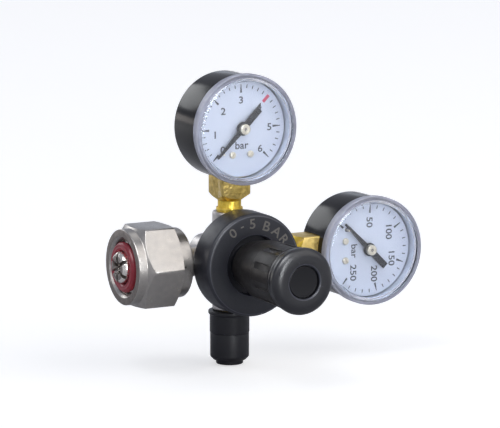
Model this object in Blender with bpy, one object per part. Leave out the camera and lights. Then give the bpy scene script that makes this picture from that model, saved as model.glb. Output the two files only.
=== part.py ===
"""Carbon dioxide regulator with an inlet nut, two gauges, an adjusting knob and a push-in outlet.

Metres. The origin is the middle of the inlet nose's end face. +X runs along the inlet into the
body, -Y is the knob's side and +Z is up, towards the working-pressure gauge. The body's three axes
cross at one point, and most lengths below are distances from that crossing.
"""

import math

import bmesh
import bpy
from mathutils import Matrix, Vector

MM = 0.001

# Clearances
GAP = 0.3 * MM
KNOB_CLEARANCE = 0.4 * MM
CUT_PAST = 1.0 * MM

# Facets of a full circle, steps of an arc, and the angle above which an edge is sharp
FINE = 36
ROUND = 30
MEDIUM = 20
SMALL = 14
DRILLED = 8
EDGE_STEPS = 3
DOME_STEPS = 4
ARC_STEPS = 8
SHARP_ANGLE = 35.0

# Regulator body
CORE_R = 10.3 * MM
CORE_BACK = 10.0 * MM
FLANGE_R = 17.0 * MM
FLANGE_FRONT = 11.0 * MM
FLANGE_THICKNESS = 3.0 * MM
CLAMPED_WIDTH = 5.0 * MM
CHAMBER_R = FLANGE_R - CLAMPED_WIDTH
CHAMBER_DEPTH = 1.4 * MM
BOSS_R = 6.6 * MM
BOSS_EDGE = 0.4 * MM
TOP_BOSS_END = 18.0 * MM
OUTLET_BOSS_END = 20.0 * MM
SIDE_BOSS_END = 22.4 * MM
INLET_BOSS_END = 13.0 * MM
PASSAGE_R = 1.2 * MM
SENSING_R = 1.0 * MM
SENSING_OFFSET = 7.6 * MM

# Pipe threads, drawn at their outer radius
THREAD_R = 4.7 * MM
THREAD_LENGTH = 8.0 * MM
INLET_THREAD_LENGTH = 5.9 * MM
THREAD_CHAMFER = 0.5 * MM

# Inlet stem, filter and nose
STEM_R = 5.9 * MM
STEM_FLANGE_THICKNESS = 4.65 * MM
STEM_BORE_R = 1.5 * MM
FILTER_R = 4.0 * MM
FILTER_LENGTH = 4.4 * MM
NOSE_R = 5.95 * MM
NOSE_LENGTH = 4.85 * MM
NOSE_THREAD_LENGTH = 4.0 * MM
NOSE_HOLE_R = 1.4 * MM
NOSE_EDGE = 2.0 * MM
NOSE_SLOTS = 6
NOSE_SLOT_WIDTH = 1.5 * MM
NOSE_SLOT_DEPTH = 1.6 * MM
SEAL_SECTION_R = 1.65 * MM

# Inlet nut
NUT_ACROSS_FLATS = 30.0 * MM
NUT_STANDOFF = 2.4 * MM
NUT_TRAVEL = 5.2 * MM
NUT_DEPTH = 14.5 * MM
NUT_BORE_R = 10.6 * MM
STEM_FLANGE_R = NUT_BORE_R - 0.7 * MM
NUT_MOUTH_R = 11.6 * MM
NUT_SHOULDER_THICKNESS = 8.9 * MM
NUT_SHOULDER_R = 7.2 * MM
NUT_FRONT_COLLAR_R = 14.4 * MM
NUT_FRONT_COLLAR = 3.5 * MM
NUT_FRONT_CHAMFER = 2.35 * MM
NUT_BACK_COLLAR_R = 13.3 * MM
NUT_BACK_COLLAR = 5.1 * MM
NUT_BACK_CHAMFER = 1.1 * MM
NUT_BACK_CHAMFER_R = 15.2 * MM
NUT_EDGE = 0.4 * MM
SLIP_RING_THICKNESS = 1.2 * MM

# Valve, behind the diaphragm
ORIFICE_R = 1.3 * MM
SEAT_WALL = 3.6 * MM
VALVE_BORE_R = 4.2 * MM
PLUG_THREAD_R = 5.0 * MM
PLUG_THREAD_LENGTH = 6.1 * MM
PLUG_HEAD_R = 6.0 * MM
PLUG_HEAD_LENGTH = 11.3 * MM
PLUG_EDGE = 0.6 * MM
PLUG_SEAL_THICKNESS = 0.6 * MM
PLUG_POCKET_R = 3.3 * MM
PLUG_POCKET_DEPTH = 3.8 * MM
PLUG_SOCKET_ACROSS_FLATS = 5.0 * MM
PLUG_SOCKET_DEPTH = 4.0 * MM
SEAT_THICKNESS = 1.5 * MM
POPPET_PIN_R = 0.8 * MM
POPPET_HEAD_R = 3.0 * MM
POPPET_HEAD_LENGTH = 2.6 * MM
POPPET_GUIDE_R = 1.6 * MM
POPPET_GUIDE_LENGTH = 5.8 * MM
POPPET_SPRING_WIRE_R = 0.35 * MM
POPPET_SPRING_TURNS = 4
VALVE_TRAVEL = 0.8 * MM

# Diaphragm stack, in front of the flange
DIAPHRAGM_THICKNESS = 0.6 * MM
DIAPHRAGM_RIM = 0.3 * MM
CLAMP_RING_THICKNESS = 0.8 * MM
PLATE_SHARE = 0.7
PLATE_R = PLATE_SHARE * CHAMBER_R
PLATE_THICKNESS = 1.4 * MM
CONVOLUTION_R = (CHAMBER_R + PLATE_R) / 2
CONVOLUTION_CLEARANCE = 0.2 * MM
CONVOLUTION_WIDTH = CHAMBER_R - PLATE_R - 2 * CONVOLUTION_CLEARANCE
CONVOLUTION_HEIGHT = 0.5 * MM
CONVOLUTION_STEPS = 4

# Bonnet and its neck
BONNET_SKIRT = 2.3 * MM
BONNET_R = FLANGE_R + KNOB_CLEARANCE + BONNET_SKIRT
BONNET_FRONT = 20.1 * MM
BONNET_EDGE = 1.5 * MM
BONNET_CAVITY_DEPTH = 1.3 * MM
BONNET_WALL = 1.5 * MM
NECK_BORE_R = 6.6 * MM
NECK_R = NECK_BORE_R + 1.4 * MM
NECK_LENGTH = 19.9 * MM

# Range spring and the plate that presses it
RANGE_SPRING_WIRE_R = 1.1 * MM
RANGE_SPRING_COIL_R = NECK_BORE_R - 0.6 * MM - RANGE_SPRING_WIRE_R
RANGE_SPRING_LENGTH = 20.6 * MM
RANGE_SPRING_TURNS = 6
SPRING_PLATE_THICKNESS = 2.5 * MM
SPRING_GUIDE_R = RANGE_SPRING_COIL_R - RANGE_SPRING_WIRE_R - KNOB_CLEARANCE
SPRING_GUIDE_LENGTH = 1.4 * MM

# Knob
KNOB_TRAVEL = 2.5 * MM
KNOB_WALL = 0.8 * MM
KNOB_BACK = 19.6 * MM
KNOB_BACK_R = NECK_R + KNOB_CLEARANCE + KNOB_WALL
KNOB_FRONT = 52.0 * MM
KNOB_EDGE = 0.5 * MM
SKIRT_END = KNOB_FRONT - 22.0 * MM
SKIRT_R = KNOB_BACK_R + 2.1 * MM
RIDGE_END = KNOB_FRONT - 14.0 * MM
RIDGE_R = SKIRT_R + 0.2 * MM
RIDGE_HEIGHT = 0.15 * MM
KNOB_FRONT_R = RIDGE_R + 0.4 * MM
KNOB_WEB = 2.5 * MM
KNOB_POCKET_R = KNOB_FRONT_R - 2.4 * MM
RECESS_R = SKIRT_R + 0.1 * MM
RECESS_CHAMFER = 0.4 * MM
FLUTES = 10
FLUTE_DEPTH = 0.6 * MM
FLUTE_START = KNOB_FRONT - 12.4 * MM
FLUTE_END = KNOB_FRONT - 0.8 * MM
FLUTE_RUN_OUT = 0.3 * MM
FIRST_FLUTE = 13.0
FLUTE_STOPS = (0.0, 0.325, 0.375, 0.625, 0.675)
FLUTE_FLOOR_STOPS = (2, 3)
CAP_R = KNOB_FRONT_R + 0.7 * MM
CAP_THICKNESS = 6.9 * MM
CAP_WIDEST = 4.2 * MM
CAP_TAPER = 0.25 * MM
CAP_PLUG_LENGTH = 5.0 * MM
CAP_WALL = 1.2 * MM
CAP_FACE_R = CAP_R - 4.0 * MM
CAP_EDGE = 0.3 * MM
BADGE_R = CAP_FACE_R - 2.6 * MM
BADGE_THICKNESS = 0.9 * MM
BADGE_DEPTH = 0.6 * MM
BADGE_EDGE = 0.2 * MM

# Push-in outlet
OUTLET_FLANGE_R = 8.15 * MM
OUTLET_FLANGE = 1.2 * MM
OUTLET_TAPER = 0.5 * MM
OUTLET_R = 7.6 * MM
OUTLET_LOWER_R = 7.45 * MM
OUTLET_SEAM = 8.5 * MM
OUTLET_LENGTH = 19.2 * MM
OUTLET_CHAMFER = 1.3 * MM
ADAPTER_DEPTH = 6.7 * MM
ADAPTER_BORE_R = 2.0 * MM
OUTLET_WASHER_THICKNESS = 0.8 * MM
OUTLET_WASHER_R = 6.2 * MM
TUBE_BORE_R = 4.3 * MM
TUBE_STOP = 7.5 * MM
TUBE_GUIDE_LENGTH = 1.4 * MM
COLLET_R = 5.2 * MM
COLLET_OUT = 1.6 * MM
COLLET_LENGTH = 7.6 * MM
COLLET_SLOT_WIDTH = 1.0 * MM
COLLET_SLOT_LENGTH = 3.4 * MM
COLLET_EDGE = 0.3 * MM
TUBE_SEAL_SECTION_R = 0.45 * MM
TUBE_SEAL_SLACK = 0.05 * MM
GRAB_RING_THICKNESS = 0.6 * MM
GRAB_TEETH = 10
GRAB_TOOTH = 0.4 * MM

# Gauges: places from the dial's middle, along the stem or towards the front
GAUGE_REACH = 32.8 * MM
CASE_R = 20.2 * MM
CASE_WALL = 0.8 * MM
CASE_BACK_WALL = 1.0 * MM
CASE_BACK = 7.8 * MM
CASE_FRONT = 12.0 * MM
CASE_EDGE = 1.5 * MM
LENS_RIM = 0.6 * MM
LENS_R = CASE_R + GAP + LENS_RIM
LENS_FRONT = 15.2 * MM
LENS_THICKNESS = 1.3 * MM
LENS_SKIRT = 4.6 * MM
LENS_EDGE = 0.5 * MM
LENS_LIP = 1.5 * MM
STEM_SQUARE = 12.0 * MM
STEM_NECK = 4.3 * MM
STEM_CONE = 2.7 * MM
STEM_CONE_END = GAUGE_REACH - STEM_NECK
STEM_SQUARE_END = STEM_CONE_END - STEM_CONE
STEM_NECK_R = 4.5 * MM
STEM_SQUARE_TOP = 13.0 * MM
STEM_BORE_START = 2.6 * MM
CROSS_HOLE_R = 0.8 * MM
STEM_TONGUE_TOP = 8.4 * MM
STEM_TONGUE_BACK = 2.2 * MM
GAUGE_WASHER_R = 5.5 * MM
GAUGE_WASHER_THICKNESS = 1.2 * MM
DIAL_R = CASE_R - CASE_WALL - 0.8 * MM
DIAL_FRONT = 8.8 * MM
DIAL_THICKNESS = 0.4 * MM
DIAL_SCREW_X = 3.8 * MM
DIAL_SCREW_DROP = 10.0 * MM
DIAL_SCREW_R = 0.8 * MM
DIAL_SCREW_HEAD_R = 1.3 * MM
DIAL_SCREW_HEAD = 0.8 * MM
DIAL_SCREW_EDGE = 0.25 * MM
DIAL_SCREW_LENGTH = 6.0 * MM
SCREW_SLOT = 0.4 * MM
STOP_PIN_R = 0.4 * MM
STOP_PIN_FRONT = 11.2 * MM

# Pointer
ZERO_ANGLE = 225.0
POINTER_BACK = 10.3 * MM
POINTER_THICKNESS = 0.5 * MM
POINTER_LENGTH = DIAL_R - 3.1 * MM
STOP_PIN_RING = POINTER_LENGTH - 2.5 * MM
POINTER_TIP_WIDTH = 0.5 * MM
POINTER_ROOT_WIDTH = 1.5 * MM
POINTER_TAIL = 10.0 * MM
POINTER_TAIL_WIDTH = 2.4 * MM
POINTER_BOSS_R = 2.6 * MM
HUB_R = 2.0 * MM
HUB_LENGTH = 1.8 * MM
HUB_WALL = 0.6 * MM
HUB_EDGE = 0.4 * MM

# Bourdon tube
TUBE_WIDTH = 2.0 * MM
TUBE_CLEARANCE = 1.9 * MM
TUBE_MEAN_R = CASE_R - CASE_WALL - TUBE_CLEARANCE - TUBE_WIDTH / 2
TUBE_DEPTH = 5.0 * MM
TUBE_MIDDLE = -1.5 * MM
TUBE_SIDES = 8
TUBE_STEPS = 20
TUBE_END_ANGLE = -8.0
TIP_PIN_R = TUBE_MEAN_R - 2.8 * MM
TIP_PIN_ANGLE = TUBE_END_ANGLE - 5.5
TIP_TAB_R = 1.0 * MM
TIP_TAB_TURN = 3.0

# Gauge movement: a toothed sector turns the pointer's pinion, all inside the Bourdon tube
MOVEMENT_R = TUBE_MEAN_R - TUBE_WIDTH / 2 - 0.7 * MM
FRAME_CENTRE_R = 3.0 * MM
FRAME_PIVOT_R = 2.2 * MM
PINION_TEETH = 12
SECTOR_WHOLE_TEETH = 72
SECTOR_SPARE_TEETH = 1
SECTOR_RIM_SHARE = 0.7
MODULE = (MOVEMENT_R - FRAME_PIVOT_R) * 2 / (PINION_TEETH + SECTOR_WHOLE_TEETH)
SWING = 270.0
PRESSURE_ANGLE = 20.0
ADDENDUM = 0.24 * MM
DEDENDUM = 0.38 * MM
BACKLASH = 0.08 * MM
PINION_OVERLAP = 0.2 * MM
PIVOT_ANGLE = -40.0
ARBOR_R = 0.6 * MM
PIVOT_R = 0.5 * MM
SECTOR_FRONT = -0.2 * MM
SECTOR_THICKNESS = 1.0 * MM
SECTOR_HUB_R = 1.6 * MM
SECTOR_RIM = 1.4 * MM
SECTOR_ARM_WIDTH = 2.4 * MM
TAIL_LENGTH = 3.6 * MM
TAIL_ANGLE = -22.5
TAIL_R = 1.1 * MM
LINK_R = 1.3 * MM
LINK_THICKNESS = 0.9 * MM
FRAME_PLATE = 1.0 * MM
REAR_PLATE_BACK = 4.0 * MM
PILLAR_R = 0.7 * MM
INNER_PILLAR = (2.86 * MM, 155.0)
OUTER_PILLAR = (MOVEMENT_R - 1.05 * MM, -57.5)
PAD_WALL = 0.8 * MM

# Places that follow from the sizes above
NUT_BACK = BONNET_R + NUT_STANDOFF
SLIP_RING_BACK = NUT_BACK + NUT_SHOULDER_THICKNESS + GAP
STEM_FLANGE_BACK = SLIP_RING_BACK + SLIP_RING_THICKNESS + NUT_TRAVEL + GAP
STEM_END = STEM_FLANGE_BACK + STEM_FLANGE_THICKNESS
INLET_REACH = STEM_END + GAP + NOSE_LENGTH
CROSSING = Vector((INLET_REACH, 0.0, 0.0))
SOCKET_R = THREAD_R + GAP
CHAMBER_FLOOR = FLANGE_FRONT - CHAMBER_DEPTH
VALVE_FLOOR = CHAMBER_FLOOR - SEAT_WALL
PLUG_TIP = CORE_BACK + GAP - PLUG_THREAD_LENGTH
DIAPHRAGM_BACK = FLANGE_FRONT + GAP
PLATE_BACK = DIAPHRAGM_BACK + DIAPHRAGM_THICKNESS + GAP
PLATE_FRONT = PLATE_BACK + PLATE_THICKNESS
BONNET_SEAT = PLATE_BACK + CLAMP_RING_THICKNESS + GAP
CAVITY_END = BONNET_SEAT + BONNET_CAVITY_DEPTH
RECESS_FLOOR = CAVITY_END + BONNET_WALL
SPRING_BACK = PLATE_FRONT + GAP
SPRING_PLATE_BACK = SPRING_BACK + RANGE_SPRING_LENGTH + GAP
SPRING_PLATE_FRONT = SPRING_PLATE_BACK + SPRING_PLATE_THICKNESS
NECK_END = CAVITY_END + BONNET_WALL + NECK_LENGTH + GAP + GAP
KNOB_CAVITY_END = NECK_END + KNOB_TRAVEL + GAP
KNOB_POCKET_FLOOR = KNOB_CAVITY_END + KNOB_WEB
LOW_MIDDLE = CROSSING + Vector((0.0, 0.0, TOP_BOSS_END + GAUGE_REACH))
HIGH_MIDDLE = CROSSING + Vector((SIDE_BOSS_END + GAUGE_REACH, 0.0, 0.0))
OUTLET_TOP = OUTLET_BOSS_END + GAP
OUTLET_END = OUTLET_TOP + OUTLET_LENGTH
PINION_PITCH_R = MODULE * PINION_TEETH / 2
SECTOR_PITCH_R = MODULE * SECTOR_WHOLE_TEETH / 2
SECTOR_PITCH = 360.0 / SECTOR_WHOLE_TEETH
CONTACT_ANGLE = PIVOT_ANGLE + 180.0
DIAL_BACK = DIAL_FRONT - DIAL_THICKNESS
FRONT_PLATE_BACK = STEM_SQUARE / 2 + GAP
FRONT_PLATE_FRONT = FRONT_PLATE_BACK + FRAME_PLATE

# Turns that carry a shape from its own +Z to the way it points on the regulator
UP = Matrix.Identity(4)
DOWN = Matrix.Rotation(math.pi, 4, "X")
FRONT = Matrix.Rotation(math.pi / 2, 4, "X")
BACK = Matrix.Rotation(-math.pi / 2, 4, "X")
LEFT = Matrix.Rotation(-math.pi / 2, 4, "Y")
RIGHT = Matrix.Rotation(math.pi / 2, 4, "Y")


def make_finish(name, colour, roughness, metallic=0.0, transmission=0.0):
    """A plain Principled material."""
    finish = bpy.data.materials.new(name)
    finish.use_nodes = True
    shader = finish.node_tree.nodes["Principled BSDF"]
    shader.inputs["Base Color"].default_value = (*colour, 1.0)
    shader.inputs["Roughness"].default_value = roughness
    shader.inputs["Metallic"].default_value = metallic
    shader.inputs["Transmission Weight"].default_value = transmission
    return finish


def make_finishes():
    """Every finish on the regulator, by name."""
    return {
        "nickel": make_finish("nickel_plate", (0.66, 0.64, 0.61), 0.32, 1.0),
        "brass": make_finish("brass", (0.78, 0.56, 0.20), 0.30, 1.0),
        "steel": make_finish("spring_steel", (0.55, 0.55, 0.56), 0.35, 1.0),
        "bronze": make_finish("sintered_bronze", (0.52, 0.35, 0.17), 0.75, 1.0),
        "bonnet": make_finish("black_moulding", (0.022, 0.022, 0.025), 0.42),
        "paint": make_finish("black_gauge_paint", (0.015, 0.015, 0.018), 0.22),
        "fitting": make_finish("black_fitting", (0.018, 0.018, 0.021), 0.38),
        "rubber": make_finish("black_rubber", (0.03, 0.03, 0.03), 0.65),
        "seal": make_finish("red_seal", (0.45, 0.03, 0.05), 0.50),
        "nylon": make_finish("white_nylon", (0.80, 0.79, 0.74), 0.50),
        "dial": make_finish("white_dial", (0.84, 0.87, 0.92), 0.45),
        "lens": make_finish("clear_lens", (0.92, 0.95, 1.0), 0.05, 0.0, 1.0),
    }


def from_bmesh(name, shape, aim, finish, middle=None):
    """Turns a finished bmesh to its aim and wraps it in a smooth-shaded object."""
    bmesh.ops.recalc_face_normals(shape, faces=shape.faces)
    bmesh.ops.transform(shape, matrix=aim, verts=shape.verts)
    mesh = bpy.data.meshes.new(name)
    shape.to_mesh(mesh)
    shape.free()
    mesh.shade_smooth()
    mesh.set_sharp_from_angle(angle=math.radians(SHARP_ANGLE))
    item = bpy.data.objects.new(name, mesh)
    bpy.context.scene.collection.objects.link(item)
    item.data.materials.append(finish)
    if middle is not None:
        item.location = middle
    return item


def revolve(outline, facets):
    """A closed solid turned about Z from (radius, height) points."""
    shape = bmesh.new()
    points = [shape.verts.new((radius, 0.0, height)) for radius, height in outline]
    pairs = list(zip(points, points[1:]))
    if outline[0][0] > 0.0 or outline[-1][0] > 0.0:
        pairs.append((points[-1], points[0]))
    edges = [shape.edges.new(pair) for pair in pairs]
    bmesh.ops.spin(
        shape,
        geom=points + edges,
        cent=(0.0, 0.0, 0.0),
        axis=(0.0, 0.0, 1.0),
        angle=math.tau,
        steps=facets,
        use_merge=True,
    )
    bmesh.ops.remove_doubles(shape, verts=shape.verts, dist=0.001 * MM)
    return shape


def turned(name, outline, aim, finish, middle=None, facets=MEDIUM):
    """A turned piece from (radius, place along its aim) points."""
    return from_bmesh(name, revolve(outline, facets), aim, finish, middle)


def extrude(outline, low, high):
    """A closed solid extruded along Z from the (x, y) points of its outline."""
    shape = bmesh.new()
    face = shape.faces.new([shape.verts.new((x, y, low)) for x, y in outline])
    made = bmesh.ops.extrude_face_region(shape, geom=[face])["geom"]
    top = [item for item in made if isinstance(item, bmesh.types.BMVert)]
    bmesh.ops.translate(shape, vec=(0.0, 0.0, high - low), verts=top)
    return shape


def extruded(name, outline, low, high, aim, finish, middle=None):
    """A flat piece from its outline, between two places along its aim."""
    return from_bmesh(name, extrude(outline, low, high), aim, finish, middle)


def combine(target, tool, operation):
    """Changes target by tool, and removes tool."""
    modifier = target.modifiers.new(operation.lower(), "BOOLEAN")
    modifier.operation = operation
    modifier.solver = "EXACT"
    modifier.object = tool
    bpy.context.view_layer.update()
    graph = bpy.context.evaluated_depsgraph_get()
    mesh = bpy.data.meshes.new_from_object(target.evaluated_get(graph))
    target.modifiers.clear()
    plain = target.data
    target.data = mesh
    bpy.data.meshes.remove(plain)
    mesh.shade_smooth()
    mesh.set_sharp_from_angle(angle=math.radians(SHARP_ANGLE))
    bpy.data.objects.remove(tool)


def fuse(target, tool):
    combine(target, tool, "UNION")


def cut(target, tool):
    combine(target, tool, "DIFFERENCE")


def keep_common(target, tool):
    combine(target, tool, "INTERSECT")


def drill(target, radius, low, high, aim, at=(0.0, 0.0), facets=DRILLED):
    """Cuts a round hole whose middle is at a place across its aim."""
    outline = disc(at, radius, facets)
    finish = target.data.materials[0]
    cut(target, extruded("drill", outline, low, high, aim, finish))


def polar(radius, degrees, middle=(0.0, 0.0)):
    angle = math.radians(degrees)
    return (middle[0] + radius * math.cos(angle), middle[1] + radius * math.sin(angle))


def arc(middle, radius, start, end, steps):
    """Points on a circle from one angle to another, both included."""
    return [polar(radius, start + (end - start) * i / steps, middle) for i in range(steps + 1)]


def disc(middle, radius, count=SMALL):
    return [polar(radius, 360.0 * i / count, middle) for i in range(count)]


def polygon(across_flats, sides, first_corner):
    """A regular outline by its width across flats."""
    corner_r = across_flats / 2 / math.cos(math.pi / sides)
    return [polar(corner_r, first_corner + 360.0 * i / sides) for i in range(sides)]


def rectangle(low_x, low_y, high_x, high_y):
    return [(low_x, low_y), (high_x, low_y), (high_x, high_y), (low_x, high_y)]


def wrap(discs):
    """The tight outline around several discs, each (middle, radius)."""
    points = sorted({point for middle, radius in discs for point in disc(middle, radius)})

    def chain(ordered):
        kept = []
        for point in ordered:
            while len(kept) > 1 and turns_right(kept[-2], kept[-1], point):
                kept.pop()
            kept.append(point)
        return kept[:-1]

    return chain(points) + chain(reversed(points))


def turns_right(a, b, c):
    return (b[0] - a[0]) * (c[1] - a[1]) - (b[1] - a[1]) * (c[0] - a[0]) <= 1e-14


def washer(name, inner_r, outer_r, low, high, aim, finish, middle, facets=MEDIUM):
    outline = [(inner_r, low), (outer_r, low), (outer_r, high), (inner_r, high)]
    return turned(name, outline, aim, finish, middle, facets)


def ring_seal(name, ring_r, section_r, place, aim, finish, middle, facets=ROUND, sides=8):
    """A ring with a round section."""
    section = [polar(section_r, 360.0 * i / sides, (ring_r, place)) for i in range(sides)]
    return turned(name, section, aim, finish, middle, facets)


def coil_spring(name, coil_r, wire_r, low, high, turns, aim, finish, middle, steps):
    """A compression spring whose end turns stay between two places along its aim."""
    curve = bpy.data.curves.new(name, "CURVE")
    curve.dimensions = "3D"
    curve.bevel_depth = wire_r
    curve.bevel_resolution = 1
    curve.use_fill_caps = True
    count = turns * steps + 1
    spline = curve.splines.new("POLY")
    spline.points.add(count - 1)
    rise = high - low - 2 * wire_r
    for i, point in enumerate(spline.points):
        share = i / (count - 1)
        angle = math.tau * turns * share
        place = low + wire_r + rise * share
        spot = aim @ Vector((coil_r * math.cos(angle), coil_r * math.sin(angle), place))
        point.co = (*spot, 1.0)
    item = bpy.data.objects.new(name, curve)
    bpy.context.scene.collection.objects.link(item)
    curve.materials.append(finish)
    item.location = middle
    return item


def make_body(finishes):
    """The body: a cored cylinder with a flange in front and four threaded bosses."""
    flange_back = FLANGE_FRONT - FLANGE_THICKNESS
    outline = [
        (0.0, -CORE_BACK),
        (CORE_R, -CORE_BACK),
        (CORE_R, flange_back),
        (FLANGE_R, flange_back),
        (FLANGE_R, FLANGE_FRONT),
        (CHAMBER_R, FLANGE_FRONT),
        (CHAMBER_R, CHAMBER_FLOOR),
        (0.0, CHAMBER_FLOOR),
    ]
    body = turned("regulator_body", outline, FRONT, finishes["nickel"], facets=FINE)
    bosses = (
        (UP, -OUTLET_BOSS_END, TOP_BOSS_END),
        (RIGHT, -INLET_BOSS_END, SIDE_BOSS_END),
    )
    for aim, low, high in bosses:
        boss = [(0.0, low), (BOSS_R - BOSS_EDGE, low), (BOSS_R, low + BOSS_EDGE)]
        boss += [(BOSS_R, high - BOSS_EDGE), (BOSS_R - BOSS_EDGE, high), (0.0, high)]
        fuse(body, turned("boss", boss, aim, finishes["nickel"]))
    sockets = (
        (UP, TOP_BOSS_END, THREAD_LENGTH, SENSING_OFFSET - SENSING_R / 2),
        (DOWN, OUTLET_BOSS_END, THREAD_LENGTH, SENSING_OFFSET - SENSING_R / 2),
        (RIGHT, SIDE_BOSS_END, THREAD_LENGTH, VALVE_BORE_R / 2),
        (LEFT, INLET_BOSS_END, INLET_THREAD_LENGTH, VALVE_BORE_R / 2),
    )
    for aim, end, depth, passage_end in sockets:
        floor = end - depth - GAP
        socket = [(0.0, end + CUT_PAST), (SOCKET_R, end + CUT_PAST), (SOCKET_R, floor)]
        socket += [(PASSAGE_R, floor), (PASSAGE_R, passage_end), (0.0, passage_end)]
        cut(body, turned("socket", socket, aim, finishes["nickel"], facets=SMALL))
    cut_valve_bore(body, finishes)
    for place in (SENSING_OFFSET, -SENSING_OFFSET):
        drill(body, SENSING_R, -SENSING_R, CHAMBER_FLOOR + CUT_PAST, FRONT, at=(0.0, place))
    body.location = CROSSING


def cut_valve_bore(body, finishes):
    """The stepped bore for the valve, from the back of the body to its diaphragm chamber."""
    thread_floor = PLUG_TIP - GAP
    outline = [
        (0.0, CORE_BACK + CUT_PAST),
        (PLUG_THREAD_R + GAP, CORE_BACK + CUT_PAST),
        (PLUG_THREAD_R + GAP, thread_floor),
        (VALVE_BORE_R, thread_floor),
        (VALVE_BORE_R, -VALVE_FLOOR),
        (ORIFICE_R, -VALVE_FLOOR),
        (ORIFICE_R, -CHAMBER_FLOOR - CUT_PAST),
        (0.0, -CHAMBER_FLOOR - CUT_PAST),
    ]
    cut(body, turned("valve_bore", outline, BACK, finishes["nickel"]))


def make_inlet(finishes):
    """The stem that joins the nut to the body, with its filter, nose and seal."""
    shoulder = INLET_BOSS_END + GAP
    thread_tip = INLET_BOSS_END - INLET_THREAD_LENGTH
    nose_back = STEM_END + GAP
    filter_front = nose_back - NOSE_THREAD_LENGTH - GAP
    filter_back = filter_front - FILTER_LENGTH
    seat_r = FILTER_R + GAP
    stem = [
        (STEM_BORE_R, thread_tip),
        (THREAD_R, thread_tip),
        (THREAD_R, shoulder),
        (STEM_R, shoulder),
        (STEM_R, STEM_FLANGE_BACK),
        (STEM_FLANGE_R, STEM_FLANGE_BACK),
        (STEM_FLANGE_R, STEM_END),
        (seat_r, STEM_END),
        (seat_r, filter_back - GAP),
        (STEM_BORE_R, filter_back - GAP),
    ]
    turned("inlet_stem", stem, LEFT, finishes["nickel"], CROSSING)
    plug = [(0.0, filter_back), (FILTER_R, filter_back), (FILTER_R, filter_front), (0.0, filter_front)]
    turned("inlet_filter", plug, LEFT, finishes["bronze"], CROSSING, SMALL)
    make_nose(nose_back, finishes)
    seal_r = NOSE_R + GAP + SEAL_SECTION_R
    seal_place = STEM_END + GAP + SEAL_SECTION_R
    ring_seal("inlet_seal", seal_r, SEAL_SECTION_R, seal_place, LEFT, finishes["seal"], CROSSING)


def make_nose(back, finishes):
    """The slotted insert that holds the filter, with a rounded front edge."""
    front = back + NOSE_LENGTH
    thread_tip = back - NOSE_THREAD_LENGTH
    rim = arc((NOSE_R - NOSE_EDGE, front - NOSE_EDGE), NOSE_EDGE, 0.0, 90.0, EDGE_STEPS)
    outline = [
        (NOSE_HOLE_R, thread_tip),
        (FILTER_R, thread_tip),
        (FILTER_R, back),
        (NOSE_R, back),
        *rim,
        (NOSE_HOLE_R, front),
    ]
    nose = turned("inlet_nose", outline, LEFT, finishes["nickel"])
    half = NOSE_SLOT_WIDTH / 2
    for i in range(NOSE_SLOTS // 2):
        angle = 360.0 / NOSE_SLOTS * (i + 0.5) + 90.0
        bar = extruded(
            "slot",
            rectangle(-NOSE_R - CUT_PAST, -half, NOSE_R + CUT_PAST, half),
            front - NOSE_SLOT_DEPTH,
            front + CUT_PAST,
            LEFT @ Matrix.Rotation(math.radians(angle), 4, "Z"),
            finishes["nickel"],
        )
        cut(nose, bar)
    nose.location = CROSSING


def make_nut(finishes):
    """The hex inlet nut with a turned collar at each end, and the slip ring inside it."""
    back = NUT_BACK
    shoulder = back + NUT_SHOULDER_THICKNESS
    mouth = shoulder + NUT_DEPTH
    corner_r = NUT_ACROSS_FLATS / 2 / math.cos(math.pi / 6)
    hex_front = mouth - NUT_FRONT_COLLAR - NUT_FRONT_CHAMFER
    hex_back = back + NUT_BACK_COLLAR
    envelope = [
        (NUT_SHOULDER_R, back),
        (NUT_BACK_COLLAR_R - NUT_EDGE, back),
        (NUT_BACK_COLLAR_R, back + NUT_EDGE),
        (NUT_BACK_COLLAR_R, hex_back),
        (NUT_BACK_CHAMFER_R, hex_back),
        (corner_r + GAP, hex_back + NUT_BACK_CHAMFER),
        (corner_r + GAP, hex_front),
        (NUT_FRONT_COLLAR_R, mouth - NUT_FRONT_COLLAR),
        (NUT_FRONT_COLLAR_R, mouth - NUT_EDGE),
        (NUT_FRONT_COLLAR_R - NUT_EDGE, mouth),
        (NUT_MOUTH_R, mouth),
        (NUT_BORE_R, mouth - (NUT_MOUTH_R - NUT_BORE_R)),
        (NUT_BORE_R, shoulder),
        (NUT_SHOULDER_R, shoulder),
    ]
    nut = turned("inlet_nut", envelope, LEFT, finishes["nickel"], facets=FINE)
    hexagon = polygon(NUT_ACROSS_FLATS, 6, 90.0)
    bar = extruded("bar", hexagon, back - CUT_PAST, mouth + CUT_PAST, LEFT, finishes["nickel"])
    keep_common(nut, bar)
    nut.location = CROSSING
    washer(
        "nut_slip_ring",
        STEM_R + GAP,
        NUT_BORE_R - GAP,
        SLIP_RING_BACK,
        SLIP_RING_BACK + SLIP_RING_THICKNESS,
        LEFT,
        finishes["brass"],
        CROSSING,
    )


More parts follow.
